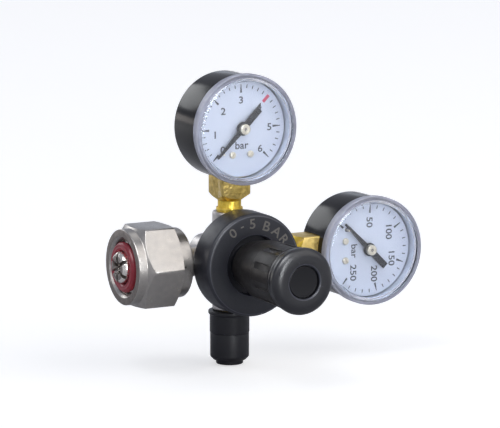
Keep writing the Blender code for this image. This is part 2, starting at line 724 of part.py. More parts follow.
def make_valve(finishes):
    """Seat, poppet, closing spring and the plug that closes the body's back."""
    seat_back = -VALVE_FLOOR + GAP
    seat_front = seat_back + SEAT_THICKNESS
    washer(
        "valve_seat",
        ORIFICE_R,
        VALVE_BORE_R - GAP,
        seat_back,
        seat_front,
        BACK,
        finishes["nylon"],
        CROSSING,
        SMALL,
    )
    cone_tip = seat_front
    cone_end = cone_tip + POPPET_HEAD_R - POPPET_PIN_R
    head_end = cone_end + POPPET_HEAD_LENGTH
    guide_end = head_end + POPPET_GUIDE_LENGTH
    poppet = [
        (0.0, -FLANGE_FRONT),
        (POPPET_PIN_R, -FLANGE_FRONT),
        (POPPET_PIN_R, cone_tip),
        (POPPET_HEAD_R, cone_end),
        (POPPET_HEAD_R, head_end),
        (POPPET_GUIDE_R, head_end),
        (POPPET_GUIDE_R, guide_end),
        (0.0, guide_end),
    ]
    turned("valve_poppet", poppet, BACK, finishes["steel"], CROSSING, SMALL)
    pocket_floor = PLUG_TIP + PLUG_POCKET_DEPTH
    coil_spring(
        "poppet_spring",
        POPPET_GUIDE_R + GAP + POPPET_SPRING_WIRE_R,
        POPPET_SPRING_WIRE_R,
        head_end + GAP,
        pocket_floor - GAP,
        POPPET_SPRING_TURNS,
        BACK,
        finishes["steel"],
        CROSSING,
        8,
    )
    make_plug(pocket_floor, finishes)


def make_plug(pocket_floor, finishes):
    """The screwed plug with its seal, closing the valve bore."""
    seal_end = CORE_BACK + GAP + PLUG_SEAL_THICKNESS
    head = seal_end + GAP
    end = head + PLUG_HEAD_LENGTH
    outline = [
        (0.0, pocket_floor),
        (PLUG_POCKET_R, pocket_floor),
        (PLUG_POCKET_R, PLUG_TIP),
        (PLUG_THREAD_R, PLUG_TIP),
        (PLUG_THREAD_R, head),
        (PLUG_HEAD_R, head),
        (PLUG_HEAD_R, end - PLUG_EDGE),
        (PLUG_HEAD_R - PLUG_EDGE, end),
        (0.0, end),
    ]
    plug = turned("valve_plug", outline, BACK, finishes["nickel"])
    socket = polygon(PLUG_SOCKET_ACROSS_FLATS, 6, 0.0)
    floor = end - PLUG_SOCKET_DEPTH
    cut(plug, extruded("socket", socket, floor, end + CUT_PAST, BACK, finishes["nickel"]))
    plug.location = CROSSING
    washer(
        "plug_seal",
        PLUG_THREAD_R + GAP,
        PLUG_HEAD_R,
        CORE_BACK + GAP,
        seal_end,
        BACK,
        finishes["rubber"],
        CROSSING,
    )


def make_diaphragm(finishes):
    """The diaphragm with its ring-shaped wave, its clamp ring and the plate that it lifts."""
    wave = []
    for i in range(CONVOLUTION_STEPS + 1):
        share = i / CONVOLUTION_STEPS
        radius = CONVOLUTION_R + CONVOLUTION_WIDTH * (share - 0.5)
        wave.append((radius, CONVOLUTION_HEIGHT * math.sin(math.pi * share)))
    outer_r = FLANGE_R - DIAPHRAGM_RIM
    middle_line = [(0.0, 0.0), *wave, (outer_r, 0.0)]
    back_face = [(r, DIAPHRAGM_BACK + lift) for r, lift in middle_line]
    front_face = [(r, place + DIAPHRAGM_THICKNESS) for r, place in reversed(back_face)]
    turned("diaphragm", back_face + front_face, FRONT, finishes["rubber"], CROSSING)
    washer(
        "clamp_ring",
        CHAMBER_R,
        outer_r,
        PLATE_BACK,
        PLATE_BACK + CLAMP_RING_THICKNESS,
        FRONT,
        finishes["steel"],
        CROSSING,
    )
    guide_end = PLATE_FRONT + SPRING_GUIDE_LENGTH
    plate = [
        (0.0, PLATE_BACK),
        (PLATE_R, PLATE_BACK),
        (PLATE_R, PLATE_FRONT),
        (SPRING_GUIDE_R, PLATE_FRONT),
        (SPRING_GUIDE_R, guide_end),
        (0.0, guide_end),
    ]
    turned("diaphragm_plate", plate, FRONT, finishes["brass"], CROSSING)


def make_bonnet(finishes):
    """The bonnet: a round cover over the flange, with a neck that the knob turns on."""
    skirt_r = FLANGE_R + KNOB_CLEARANCE
    skirt_end = FLANGE_FRONT - FLANGE_THICKNESS
    edge_middle = (BONNET_R - BONNET_EDGE, BONNET_FRONT - BONNET_EDGE)
    outline = [
        (skirt_r, skirt_end),
        (BONNET_R, skirt_end),
        *arc(edge_middle, BONNET_EDGE, 0.0, 90.0, EDGE_STEPS),
        (RECESS_R + RECESS_CHAMFER, BONNET_FRONT),
        (RECESS_R, BONNET_FRONT - RECESS_CHAMFER),
        (RECESS_R, RECESS_FLOOR),
        (NECK_R, RECESS_FLOOR),
        (NECK_R, NECK_END),
        (NECK_BORE_R, NECK_END),
        (NECK_BORE_R, CAVITY_END),
        (CHAMBER_R, CAVITY_END),
        (CHAMBER_R, BONNET_SEAT),
        (skirt_r, BONNET_SEAT),
    ]
    turned("bonnet", outline, FRONT, finishes["bonnet"], CROSSING, FINE)


def make_range_spring(finishes):
    """The spring that sets the outlet pressure, and the plate that the knob pushes."""
    coil_spring(
        "range_spring",
        RANGE_SPRING_COIL_R,
        RANGE_SPRING_WIRE_R,
        SPRING_BACK,
        SPRING_BACK + RANGE_SPRING_LENGTH,
        RANGE_SPRING_TURNS,
        FRONT,
        finishes["steel"],
        CROSSING,
        10,
    )
    guide_back = SPRING_PLATE_BACK - SPRING_GUIDE_LENGTH
    plate = [
        (0.0, guide_back),
        (SPRING_GUIDE_R, guide_back),
        (SPRING_GUIDE_R, SPRING_PLATE_BACK),
        (NECK_BORE_R - KNOB_CLEARANCE, SPRING_PLATE_BACK),
        (NECK_BORE_R - KNOB_CLEARANCE, SPRING_PLATE_FRONT),
        (0.0, SPRING_PLATE_FRONT),
    ]
    turned("spring_plate", plate, FRONT, finishes["brass"], CROSSING)


def carve_flutes(shape):
    """Moves the points of a turned knob so that its grip has flutes with flat floors."""
    count = FLUTES * len(FLUTE_STOPS)
    pitch = 360.0 / FLUTES
    for vert in shape.verts:
        radius = math.hypot(vert.co.x, vert.co.y)
        if radius < GAP:
            continue
        step = round(math.atan2(vert.co.y, vert.co.x) / math.tau * count) % count
        flute, stop = divmod(step, len(FLUTE_STOPS))
        if stop in FLUTE_FLOOR_STOPS and radius > KNOB_POCKET_R + GAP:
            if FLUTE_START < vert.co.z < FLUTE_END:
                radius -= FLUTE_DEPTH
        angle = FIRST_FLUTE + pitch * (flute + FLUTE_STOPS[stop] - 0.5)
        vert.co.xy = polar(radius, angle)


def grip_r(place):
    """The knob's radius at a place between its ridge and its front."""
    return RIDGE_R + (KNOB_FRONT_R - RIDGE_R) * (place - RIDGE_END) / (KNOB_FRONT - RIDGE_END)


def make_knob(finishes):
    """The fluted knob with its threaded post, its cap and the badge in the cap."""
    cavity_r = NECK_R + KNOB_CLEARANCE
    post_r = NECK_BORE_R - GAP
    post_end = SPRING_PLATE_FRONT + GAP
    floor_start = FLUTE_START + FLUTE_RUN_OUT
    floor_end = FLUTE_END - FLUTE_RUN_OUT
    outline = [
        (cavity_r, KNOB_BACK),
        (KNOB_BACK_R, KNOB_BACK),
        (SKIRT_R, SKIRT_END),
        (SKIRT_R, RIDGE_END - RIDGE_HEIGHT),
        (RIDGE_R, RIDGE_END),
        (grip_r(FLUTE_START), FLUTE_START),
        (grip_r(floor_start), floor_start),
        (grip_r(floor_end), floor_end),
        (grip_r(FLUTE_END), FLUTE_END),
        (KNOB_FRONT_R, KNOB_FRONT - KNOB_EDGE),
        (KNOB_FRONT_R - KNOB_EDGE, KNOB_FRONT),
        (KNOB_POCKET_R, KNOB_FRONT),
        (KNOB_POCKET_R, KNOB_POCKET_FLOOR),
        (0.0, KNOB_POCKET_FLOOR),
        (0.0, post_end),
        (post_r, post_end),
        (post_r, KNOB_CAVITY_END),
        (cavity_r, KNOB_CAVITY_END),
    ]
    shape = revolve_ring(outline, FLUTES * len(FLUTE_STOPS))
    carve_flutes(shape)
    from_bmesh("knob", shape, FRONT, finishes["bonnet"], CROSSING)
    make_cap(finishes)


def revolve_ring(outline, facets):
    """Like revolve, for an outline whose two points on the axis aren't its first and last."""
    on_axis = [i for i, (radius, _) in enumerate(outline) if radius == 0.0]
    start = on_axis[-1]
    return revolve(outline[start:] + outline[:start], facets)


def make_cap(finishes):
    """The domed cap that closes the knob, a shell with a recess for its badge."""
    back = KNOB_FRONT + GAP
    front = KNOB_FRONT + CAP_THICKNESS + GAP
    widest = back + CAP_WIDEST
    plug_r = KNOB_POCKET_R - GAP
    badge_floor = front - BADGE_DEPTH - BADGE_THICKNESS - GAP
    recess_r = BADGE_R + GAP
    dome = []
    for i in range(DOME_STEPS + 1):
        angle = math.radians(90.0 * i / DOME_STEPS)
        radius = CAP_FACE_R + (CAP_R - CAP_FACE_R) * math.cos(angle)
        dome.append((radius, widest + (front - widest) * math.sin(angle)))
    outline = [
        (0.0, badge_floor),
        (0.0, badge_floor - CAP_WALL),
        (plug_r - CAP_WALL, badge_floor - CAP_WALL),
        (plug_r - CAP_WALL, back - CAP_PLUG_LENGTH),
        (plug_r, back - CAP_PLUG_LENGTH),
        (plug_r, back),
        (KNOB_FRONT_R, back),
        (CAP_R - CAP_TAPER, back + CAP_WIDEST / 2),
        *dome,
        (recess_r + CAP_EDGE, front),
        (recess_r, front - CAP_EDGE),
        (recess_r, badge_floor),
    ]
    shape = revolve_ring(outline, ROUND)
    from_bmesh("knob_cap", shape, FRONT, finishes["bonnet"], CROSSING)
    face = badge_floor + GAP + BADGE_THICKNESS
    badge = [
        (0.0, badge_floor + GAP),
        (BADGE_R, badge_floor + GAP),
        (BADGE_R, face - BADGE_EDGE),
        (BADGE_R - BADGE_EDGE, face),
        (0.0, face),
    ]
    turned("knob_badge", badge, FRONT, finishes["paint"], CROSSING)


def make_outlet(finishes):
    """The push-in outlet: adapter, body, tube seal, grab ring and release collet."""
    adapter_tip = OUTLET_BOSS_END - THREAD_LENGTH
    adapter_end = OUTLET_TOP + ADAPTER_DEPTH
    adapter = [
        (ADAPTER_BORE_R, adapter_tip),
        (THREAD_R, adapter_tip),
        (THREAD_R, adapter_end),
        (ADAPTER_BORE_R, adapter_end),
    ]
    turned("outlet_adapter", adapter, DOWN, finishes["brass"], CROSSING)
    washer(
        "outlet_washer",
        SOCKET_R,
        OUTLET_WASHER_R,
        OUTLET_TOP,
        OUTLET_TOP + OUTLET_WASHER_THICKNESS,
        DOWN,
        finishes["rubber"],
        CROSSING,
    )
    tube_stop = OUTLET_TOP + TUBE_STOP
    seal_floor = tube_stop + TUBE_GUIDE_LENGTH
    make_outlet_body(adapter_end, tube_stop, seal_floor, finishes)
    seal_place = seal_floor + GAP + TUBE_SEAL_SECTION_R
    seal_r = TUBE_BORE_R + TUBE_SEAL_SLACK + TUBE_SEAL_SECTION_R
    ring_seal(
        "tube_seal",
        seal_r,
        TUBE_SEAL_SECTION_R,
        seal_place,
        DOWN,
        finishes["rubber"],
        CROSSING,
        MEDIUM,
        6,
    )
    grab_back = seal_place + TUBE_SEAL_SECTION_R + GAP
    make_grab_ring(grab_back, finishes)
    make_collet(finishes)


def make_outlet_body(adapter_end, tube_stop, seal_floor, finishes):
    """The black outlet body with its flange, seam, lower chamfer and stepped bore."""
    seam = OUTLET_TOP + OUTLET_SEAM
    recess_floor = OUTLET_TOP + OUTLET_WASHER_THICKNESS + GAP
    bore_r = COLLET_R + GAP
    outline = [
        (OUTLET_WASHER_R + GAP, OUTLET_TOP),
        (OUTLET_FLANGE_R, OUTLET_TOP),
        (OUTLET_FLANGE_R, OUTLET_TOP + OUTLET_FLANGE),
        (OUTLET_R, OUTLET_TOP + OUTLET_FLANGE + OUTLET_TAPER),
        (OUTLET_R, seam),
        (OUTLET_LOWER_R, seam + (OUTLET_R - OUTLET_LOWER_R)),
        (OUTLET_LOWER_R, OUTLET_END - OUTLET_CHAMFER),
        (OUTLET_LOWER_R - OUTLET_CHAMFER / 2, OUTLET_END - OUTLET_CHAMFER / 3),
        (OUTLET_LOWER_R - OUTLET_CHAMFER, OUTLET_END),
        (bore_r, OUTLET_END),
        (bore_r, seal_floor),
        (TUBE_BORE_R, seal_floor),
        (TUBE_BORE_R, tube_stop),
        (ADAPTER_BORE_R, tube_stop),
        (ADAPTER_BORE_R, adapter_end + GAP),
        (SOCKET_R, adapter_end + GAP),
        (SOCKET_R, recess_floor),
        (OUTLET_WASHER_R + GAP, recess_floor),
    ]
    turned("outlet_body", outline, DOWN, finishes["fitting"], CROSSING, ROUND)


def make_grab_ring(back, finishes):
    """The thin steel ring whose teeth hold the tube."""
    ring = washer(
        "grab_ring",
        TUBE_BORE_R + GRAB_TOOTH / 2,
        COLLET_R,
        back,
        back + GRAB_RING_THICKNESS,
        DOWN,
        finishes["steel"],
        CROSSING,
        GRAB_TEETH * 2,
    )
    for vert in ring.data.vertices:
        radius = math.hypot(vert.co.x, vert.co.y)
        if radius < TUBE_BORE_R + GRAB_TOOTH:
            step = round(math.atan2(vert.co.y, vert.co.x) / math.tau * GRAB_TEETH * 2)
            reach = TUBE_BORE_R + (GRAB_TOOTH if step % 2 else 0.0)
            vert.co.xy *= reach / radius


def make_collet(finishes):
    """The release collet, split into fingers at its inner end."""
    end = OUTLET_END + COLLET_OUT
    tip = end - COLLET_LENGTH
    outline = [
        (TUBE_BORE_R, tip),
        (COLLET_R, tip),
        (COLLET_R, end - COLLET_EDGE),
        (COLLET_R - COLLET_EDGE, end),
        (TUBE_BORE_R, end),
    ]
    collet = turned("collet", outline, DOWN, finishes["fitting"])
    half = COLLET_SLOT_WIDTH / 2
    reach = COLLET_R + CUT_PAST
    for low_x, low_y, high_x, high_y in ((-reach, -half, reach, half), (-half, -reach, half, reach)):
        slot = rectangle(low_x, low_y, high_x, high_y)
        floor = tip + COLLET_SLOT_LENGTH
        cut(collet, extruded("slot", slot, tip - CUT_PAST, floor, DOWN, finishes["fitting"]))
    collet.location = CROSSING


def make_gauge(prefix, middle, turn, finishes):
    """One pressure gauge. Its stem points down before the whole gauge is turned about Y."""
    carrier = bpy.data.objects.new(prefix + "gauge", None)
    bpy.context.scene.collection.objects.link(carrier)
    carrier.location = middle
    carrier.rotation_euler = (0.0, turn, 0.0)
    pieces = [
        make_case(prefix, finishes),
        make_stem(prefix, finishes),
        make_gauge_washer(prefix, finishes),
        make_lens(prefix, finishes),
        make_dial(prefix, finishes),
        make_stop_pin(prefix, finishes),
        make_pointer(prefix, finishes),
        make_hub(prefix, finishes),
        make_pinion(prefix, finishes),
        make_sector(prefix, finishes),
        make_link(prefix, finishes),
        make_movement_frame(prefix, finishes),
        make_bourdon_tube(prefix, finishes),
        make_dial_screw(prefix + "dial_screw_left", -DIAL_SCREW_X, finishes),
        make_dial_screw(prefix + "dial_screw_right", DIAL_SCREW_X, finishes),
    ]
    for piece in pieces:
        piece.parent = carrier


def make_case(prefix, finishes):
    """The gauge case: a cup with a rounded back and a square opening for the stem."""
    inner_r = CASE_R - CASE_WALL
    inner_back = CASE_BACK - CASE_BACK_WALL
    back_edge = arc((CASE_R - CASE_EDGE, -CASE_BACK + CASE_EDGE), CASE_EDGE, -90.0, 0.0, EDGE_STEPS)
    outline = [
        (0.0, -CASE_BACK),
        *back_edge,
        (CASE_R, CASE_FRONT),
        (inner_r, CASE_FRONT),
        (inner_r, -inner_back),
        (0.0, -inner_back),
    ]
    case = turned(prefix + "case", outline, FRONT, finishes["paint"], facets=FINE)
    half = STEM_SQUARE / 2 + GAP
    window = rectangle(-half, -half, half, half)
    cut(case, extruded("window", window, STEM_SQUARE_TOP, CASE_R + CUT_PAST, DOWN, finishes["paint"]))
    return case


def make_stem(prefix, finishes):
    """The square brass stem, turned down to a neck and a pipe thread."""
    corner_r = STEM_SQUARE / math.sqrt(2.0)
    shoulder = GAUGE_REACH
    tip = GAUGE_REACH + THREAD_LENGTH
    envelope = [
        (0.0, STEM_SQUARE_TOP),
        (corner_r + GAP, STEM_SQUARE_TOP),
        (corner_r + GAP, STEM_SQUARE_END - GAP),
        (STEM_NECK_R, STEM_CONE_END),
        (STEM_NECK_R, shoulder),
        (THREAD_R, shoulder + THREAD_CHAMFER),
        (THREAD_R, tip - THREAD_CHAMFER),
        (THREAD_R - THREAD_CHAMFER, tip),
        (0.0, tip),
    ]
    stem = turned(prefix + "stem", envelope, DOWN, finishes["brass"])
    half = STEM_SQUARE / 2
    square = rectangle(-half, -half, half, half)
    bar = extruded("bar", square, STEM_SQUARE_TOP - CUT_PAST, tip + CUT_PAST, DOWN, finishes["brass"])
    keep_common(stem, bar)
    tongue_outline = rectangle(-half, STEM_TONGUE_BACK, half, half)
    lap = STEM_SQUARE_TOP + CUT_PAST
    tongue = extruded("tongue", tongue_outline, STEM_TONGUE_TOP, lap, DOWN, finishes["brass"])
    fuse(stem, tongue)
    bore_end = STEM_SQUARE_TOP + STEM_BORE_START
    drill(stem, SENSING_R, bore_end, tip + CUT_PAST, DOWN)
    drill_side(stem, bore_end + SENSING_R / 2)
    screw_hole_r = DIAL_SCREW_R + GAP
    hole_back = DIAL_FRONT + GAP - DIAL_SCREW_LENGTH - GAP
    for x in (-DIAL_SCREW_X, DIAL_SCREW_X):
        place = (x, -DIAL_SCREW_DROP)
        drill(stem, screw_hole_r, hole_back, half + CUT_PAST, FRONT, at=place)
    return stem


def drill_side(stem, drop):
    """The cross hole that feeds the Bourdon tube's fixed end."""
    half = STEM_SQUARE / 2
    hole = disc((-drop, 0.0), CROSS_HOLE_R, DRILLED)
    cut(stem, extruded("cross_hole", hole, 0.0, half + CUT_PAST, LEFT, stem.data.materials[0]))


def make_gauge_washer(prefix, finishes):
    low = GAUGE_REACH - GAP - GAUGE_WASHER_THICKNESS
    return washer(
        prefix + "gauge_washer",
        SOCKET_R,
        GAUGE_WASHER_R,
        low,
        low + GAUGE_WASHER_THICKNESS,
        DOWN,
        finishes["brass"],
        None,
    )


def make_lens(prefix, finishes):
    """The clear lens: a window with a rim that snaps over the case."""
    inner_face = LENS_FRONT - LENS_THICKNESS
    skirt_end = LENS_FRONT - LENS_SKIRT
    lip_r = CASE_R + GAP - LENS_LIP
    outline = [
        (0.0, LENS_FRONT),
        (LENS_R - LENS_EDGE, LENS_FRONT),
        (LENS_R, LENS_FRONT - LENS_EDGE),
        (LENS_R, skirt_end),
        (CASE_R + GAP, skirt_end),
        (CASE_R + GAP, CASE_FRONT + GAP),
        (lip_r, CASE_FRONT + GAP),
        (lip_r, inner_face),
        (0.0, inner_face),
    ]
    return turned(prefix + "lens", outline, FRONT, finishes["lens"], facets=FINE)


def make_dial(prefix, finishes):
    """The dial plate with its holes for the arbor, the screws and the stop pin."""
    outline = [
        (ARBOR_R + 2 * GAP, DIAL_BACK),
        (DIAL_R, DIAL_BACK),
        (DIAL_R, DIAL_FRONT),
        (ARBOR_R + 2 * GAP, DIAL_FRONT),
    ]
    dial = turned(prefix + "dial", outline, FRONT, finishes["dial"], facets=FINE)
    low = DIAL_BACK - CUT_PAST
    high = DIAL_FRONT + CUT_PAST
    for x in (-DIAL_SCREW_X, DIAL_SCREW_X):
        drill(dial, DIAL_SCREW_R + GAP, low, high, FRONT, at=(x, -DIAL_SCREW_DROP))
    drill(dial, STOP_PIN_R + GAP, low, high, FRONT, at=stop_pin_place())
    return dial


def stop_pin_place():
    """Where the pin stands: just past zero, beside the pointer."""
    share = POINTER_LENGTH - STOP_PIN_RING
    taper = (POINTER_ROOT_WIDTH - POINTER_TIP_WIDTH) * share / POINTER_LENGTH
    half_width = (POINTER_TIP_WIDTH + taper) / 2
    offset = math.degrees(math.asin((half_width + STOP_PIN_R + GAP) / STOP_PIN_RING))
    return polar(STOP_PIN_RING, ZERO_ANGLE + offset)


def make_stop_pin(prefix, finishes):
    outline = disc(stop_pin_place(), STOP_PIN_R, DRILLED)
    low = DIAL_BACK - DIAL_THICKNESS
    return extruded(prefix + "stop_pin", outline, low, STOP_PIN_FRONT, FRONT, finishes["brass"])


def make_dial_screw(name, x, finishes):
    """A slotted screw that holds the dial to the movement frame and the stem."""
    head_back = DIAL_FRONT + GAP
    head_front = head_back + DIAL_SCREW_HEAD
    outline = [
        (0.0, head_back - DIAL_SCREW_LENGTH),
        (DIAL_SCREW_R, head_back - DIAL_SCREW_LENGTH),
        (DIAL_SCREW_R, head_back),
        (DIAL_SCREW_HEAD_R, head_back),
        (DIAL_SCREW_HEAD_R, head_front - DIAL_SCREW_EDGE),
        (DIAL_SCREW_HEAD_R - DIAL_SCREW_EDGE, head_front),
        (0.0, head_front),
    ]
    screw = turned(name, outline, FRONT, finishes["brass"], facets=SMALL)
    reach = DIAL_SCREW_HEAD_R + CUT_PAST
    slot = rectangle(-reach, -SCREW_SLOT / 2, reach, SCREW_SLOT / 2)
    floor = head_front - SCREW_SLOT
    cut(screw, extruded("slot", slot, floor, head_front + CUT_PAST, FRONT, finishes["brass"]))
    screw.location = (x, 0.0, -DIAL_SCREW_DROP)
    return screw


def make_pointer(prefix, finishes):
    """The pointer at zero: a thin tapered hand, a boss and a broad tail."""
    root_half = POINTER_ROOT_WIDTH / 2
    tip_half = POINTER_TIP_WIDTH / 2
    tail_half = POINTER_TAIL_WIDTH / 2
    root_angle = math.degrees(math.asin(root_half / POINTER_BOSS_R))
    tail_angle = 180.0 - math.degrees(math.asin(tail_half / POINTER_BOSS_R))
    upper = arc((0.0, 0.0), POINTER_BOSS_R, root_angle, tail_angle, ARC_STEPS)
    lower = arc((0.0, 0.0), POINTER_BOSS_R, -tail_angle, -root_angle, ARC_STEPS)
    tip = [(POINTER_LENGTH, -tip_half), (POINTER_LENGTH, tip_half)]
    tail = [(-POINTER_TAIL, tail_half), (-POINTER_TAIL, -tail_half)]
    outline = [turn_point(point, ZERO_ANGLE) for point in tip + upper + tail + lower]
    front = POINTER_BACK + POINTER_THICKNESS
    pointer = extruded(prefix + "pointer", outline, POINTER_BACK, front, FRONT, finishes["paint"])
    drill(pointer, ARBOR_R + GAP, POINTER_BACK - CUT_PAST, front + CUT_PAST, FRONT)
    return pointer


def turn_point(point, degrees):
    angle = math.radians(degrees)
    x, y = point
    return (x * math.cos(angle) - y * math.sin(angle), x * math.sin(angle) + y * math.cos(angle))


def make_hub(prefix, finishes):
    """The turned bush that holds the pointer on its arbor."""
    back = POINTER_BACK + POINTER_THICKNESS + GAP
    front = back + HUB_LENGTH
    outline = [
        (0.0, front),
        (HUB_R - HUB_EDGE, front),
        (HUB_R, front - HUB_EDGE),
        (HUB_R, back),
        (ARBOR_R + GAP, back),
        (ARBOR_R + GAP, front - HUB_WALL),
        (0.0, front - HUB_WALL),
    ]
    return turned(prefix + "pointer_hub", outline, FRONT, finishes["nickel"], facets=MEDIUM)


def involute(radius, base_r):
    """The involute function of a radius outside the base circle, in radians."""
    angle = math.acos(min(1.0, base_r / radius))
    return math.tan(angle) - angle


def tooth_outline(centre, pitch_r):
    """One gear tooth as (radius, angle) points, anticlockwise, its flanks involutes."""
    base_r = pitch_r * math.cos(math.radians(PRESSURE_ANGLE))
    tip_r = pitch_r + ADDENDUM
    root_r = pitch_r - DEDENDUM
    half_at_pitch = (math.pi * MODULE / 2 - BACKLASH) / 2 / pitch_r
    flank_start = max(base_r, root_r)
    radii = [flank_start + (tip_r - flank_start) * i / 2 for i in range(3)]
    if root_r < base_r:
        radii.insert(0, root_r)
    flank = []
    for radius in radii:
        half = half_at_pitch + involute(pitch_r, base_r) - involute(max(radius, base_r), base_r)
        flank.append((radius, math.degrees(half)))
    rising = [(radius, centre - half) for radius, half in flank]
    falling = [(radius, centre + half) for radius, half in reversed(flank)]
    return rising + falling


def make_pinion(prefix, finishes):
    """The pointer's arbor with its pinion, in mesh with the sector at rest."""
    pitch = 360.0 / PINION_TEETH
    teeth = []
    for i in range(PINION_TEETH):
        teeth += tooth_outline(PIVOT_ANGLE + pitch * (i + 0.5), PINION_PITCH_R)
    outline = [polar(radius, angle) for radius, angle in teeth]
    back = SECTOR_FRONT - SECTOR_THICKNESS - PINION_OVERLAP
    front = SECTOR_FRONT + PINION_OVERLAP
    pinion = extruded(prefix + "pinion", outline, back, front, FRONT, finishes["brass"])
    tip = POINTER_BACK + POINTER_THICKNESS + HUB_LENGTH - HUB_WALL
    arbor = disc((0.0, 0.0), ARBOR_R, DRILLED)
    end = -REAR_PLATE_BACK - GAP
    fuse(pinion, extruded("arbor", arbor, end, tip, FRONT, finishes["brass"]))
    return pinion


def sector_outline():
    """The sector's outline about its own pivot: toothed rim, arm, hub and tail."""
    worked = round(SWING / 360.0 * PINION_TEETH)
    first = CONTACT_ANGLE - SECTOR_PITCH * (worked + SECTOR_SPARE_TEETH)
    count = worked + 2 * SECTOR_SPARE_TEETH + 1
    root_r = SECTOR_PITCH_R - DEDENDUM
    inner_r = SECTOR_PITCH_R - SECTOR_RIM
    teeth = []
    for i in range(count):
        teeth += tooth_outline(first + SECTOR_PITCH * i, SECTOR_PITCH_R)
    low = first - SECTOR_RIM_SHARE * SECTOR_PITCH
    high = first + SECTOR_PITCH * (count - 1 + SECTOR_RIM_SHARE)
    middle = (low + high) / 2
    arm_at_rim = math.degrees(math.asin(SECTOR_ARM_WIDTH / 2 / inner_r))
    arm_at_hub = math.degrees(math.asin(SECTOR_ARM_WIDTH / 2 / SECTOR_HUB_R))
    tail_at_hub = math.degrees(math.asin(TAIL_R / SECTOR_HUB_R))
    rim = [polar(root_r, low)] + [polar(*point) for point in teeth] + [polar(root_r, high)]
    upper_inner = arc((0.0, 0.0), inner_r, high, middle + arm_at_rim, 4)
    hub_left = arc((0.0, 0.0), SECTOR_HUB_R, middle + arm_at_hub, TAIL_ANGLE + 360.0 - tail_at_hub, ARC_STEPS)
    tail = arc(polar(TAIL_LENGTH, TAIL_ANGLE), TAIL_R, TAIL_ANGLE - 90.0, TAIL_ANGLE + 90.0, ARC_STEPS)
    hub_right = arc((0.0, 0.0), SECTOR_HUB_R, TAIL_ANGLE + tail_at_hub, middle - arm_at_hub, 3)
    lower_inner = arc((0.0, 0.0), inner_r, middle - arm_at_rim, low, 4)
    return rim + upper_inner + hub_left + tail + hub_right + lower_inner


def pivot_place():
    return polar(PINION_PITCH_R + SECTOR_PITCH_R, PIVOT_ANGLE)


def tail_pin_place():
    return polar(TAIL_LENGTH, TAIL_ANGLE, pivot_place())


def tip_pin_place():
    return polar(TIP_PIN_R, TIP_PIN_ANGLE)


def link_front():
    return SECTOR_FRONT + GAP + LINK_THICKNESS


def make_sector(prefix, finishes):
    """The toothed sector with its arbor and the pin in its tail."""
    back = SECTOR_FRONT - SECTOR_THICKNESS
    brass = finishes["brass"]
    sector = extruded(prefix + "sector", sector_outline(), back, SECTOR_FRONT, FRONT, brass)
    arbor = disc((0.0, 0.0), PIVOT_R, DRILLED)
    arbor_ends = (-REAR_PLATE_BACK - GAP, FRONT_PLATE_FRONT + GAP)
    fuse(sector, extruded("arbor", arbor, *arbor_ends, FRONT, brass))
    pin = disc(polar(TAIL_LENGTH, TAIL_ANGLE), PIVOT_R, DRILLED)
    fuse(sector, extruded("pin", pin, back + SECTOR_THICKNESS / 2, link_front() + GAP, FRONT, brass))
    x, z = pivot_place()
    sector.location = (x, 0.0, z)
    return sector


def make_link(prefix, finishes):
    """The flat link from the sector's tail to the Bourdon tube's tip."""
    tail = tail_pin_place()
    tip = tip_pin_place()
    reach = (tip[0] - tail[0], tip[1] - tail[1])
    outline = wrap([((0.0, 0.0), LINK_R), (reach, LINK_R)])
    back = SECTOR_FRONT + GAP
    link = extruded(prefix + "link", outline, back, link_front(), FRONT, finishes["brass"])
    for place in ((0.0, 0.0), reach):
        drill(link, PIVOT_R + GAP, back - CUT_PAST, link_front() + CUT_PAST, FRONT, at=place)
    link.location = (tail[0], 0.0, tail[1])
    return link


def make_movement_frame(prefix, finishes):
    """Two plates on pillars that carry the arbors, with pads that the dial sits on."""
    brass = finishes["brass"]
    pivot = pivot_place()
    screws = [(-DIAL_SCREW_X, -DIAL_SCREW_DROP), (DIAL_SCREW_X, -DIAL_SCREW_DROP)]
    pad_r = DIAL_SCREW_R + GAP + PAD_WALL
    pillars = [polar(*INNER_PILLAR), polar(*OUTER_PILLAR)]
    ends = [(pillar, 2 * PILLAR_R) for pillar in pillars]
    carried = [((0.0, 0.0), FRAME_CENTRE_R), (pivot, FRAME_PIVOT_R), *ends]
    front_outline = wrap(carried + [(place, pad_r) for place in screws])
    name = prefix + "movement_frame"
    frame = extruded(name, front_outline, FRONT_PLATE_BACK, FRONT_PLATE_FRONT, FRONT, brass)
    rear_front = -REAR_PLATE_BACK + FRAME_PLATE
    inside_front = (FRONT_PLATE_BACK + FRONT_PLATE_FRONT) / 2
    inside_rear = rear_front - FRAME_PLATE / 2
    for pillar in pillars:
        outline = disc(pillar, PILLAR_R, DRILLED)
        fuse(frame, extruded("pillar", outline, inside_rear, inside_front, FRONT, brass))
    rear = extruded("rear", wrap(carried), -REAR_PLATE_BACK, rear_front, FRONT, brass)
    fuse(frame, rear)
    for place in screws:
        pad = disc(place, pad_r, SMALL)
        fuse(frame, extruded("pad", pad, inside_front, DIAL_BACK - GAP, FRONT, brass))
        drill(frame, DIAL_SCREW_R + GAP, FRONT_PLATE_BACK - CUT_PAST, DIAL_BACK, FRONT, at=place)
    back = -REAR_PLATE_BACK - CUT_PAST
    drill(frame, ARBOR_R + GAP, back, DIAL_BACK, FRONT)
    drill(frame, PIVOT_R + GAP, back, DIAL_BACK, FRONT, at=pivot)
    return frame


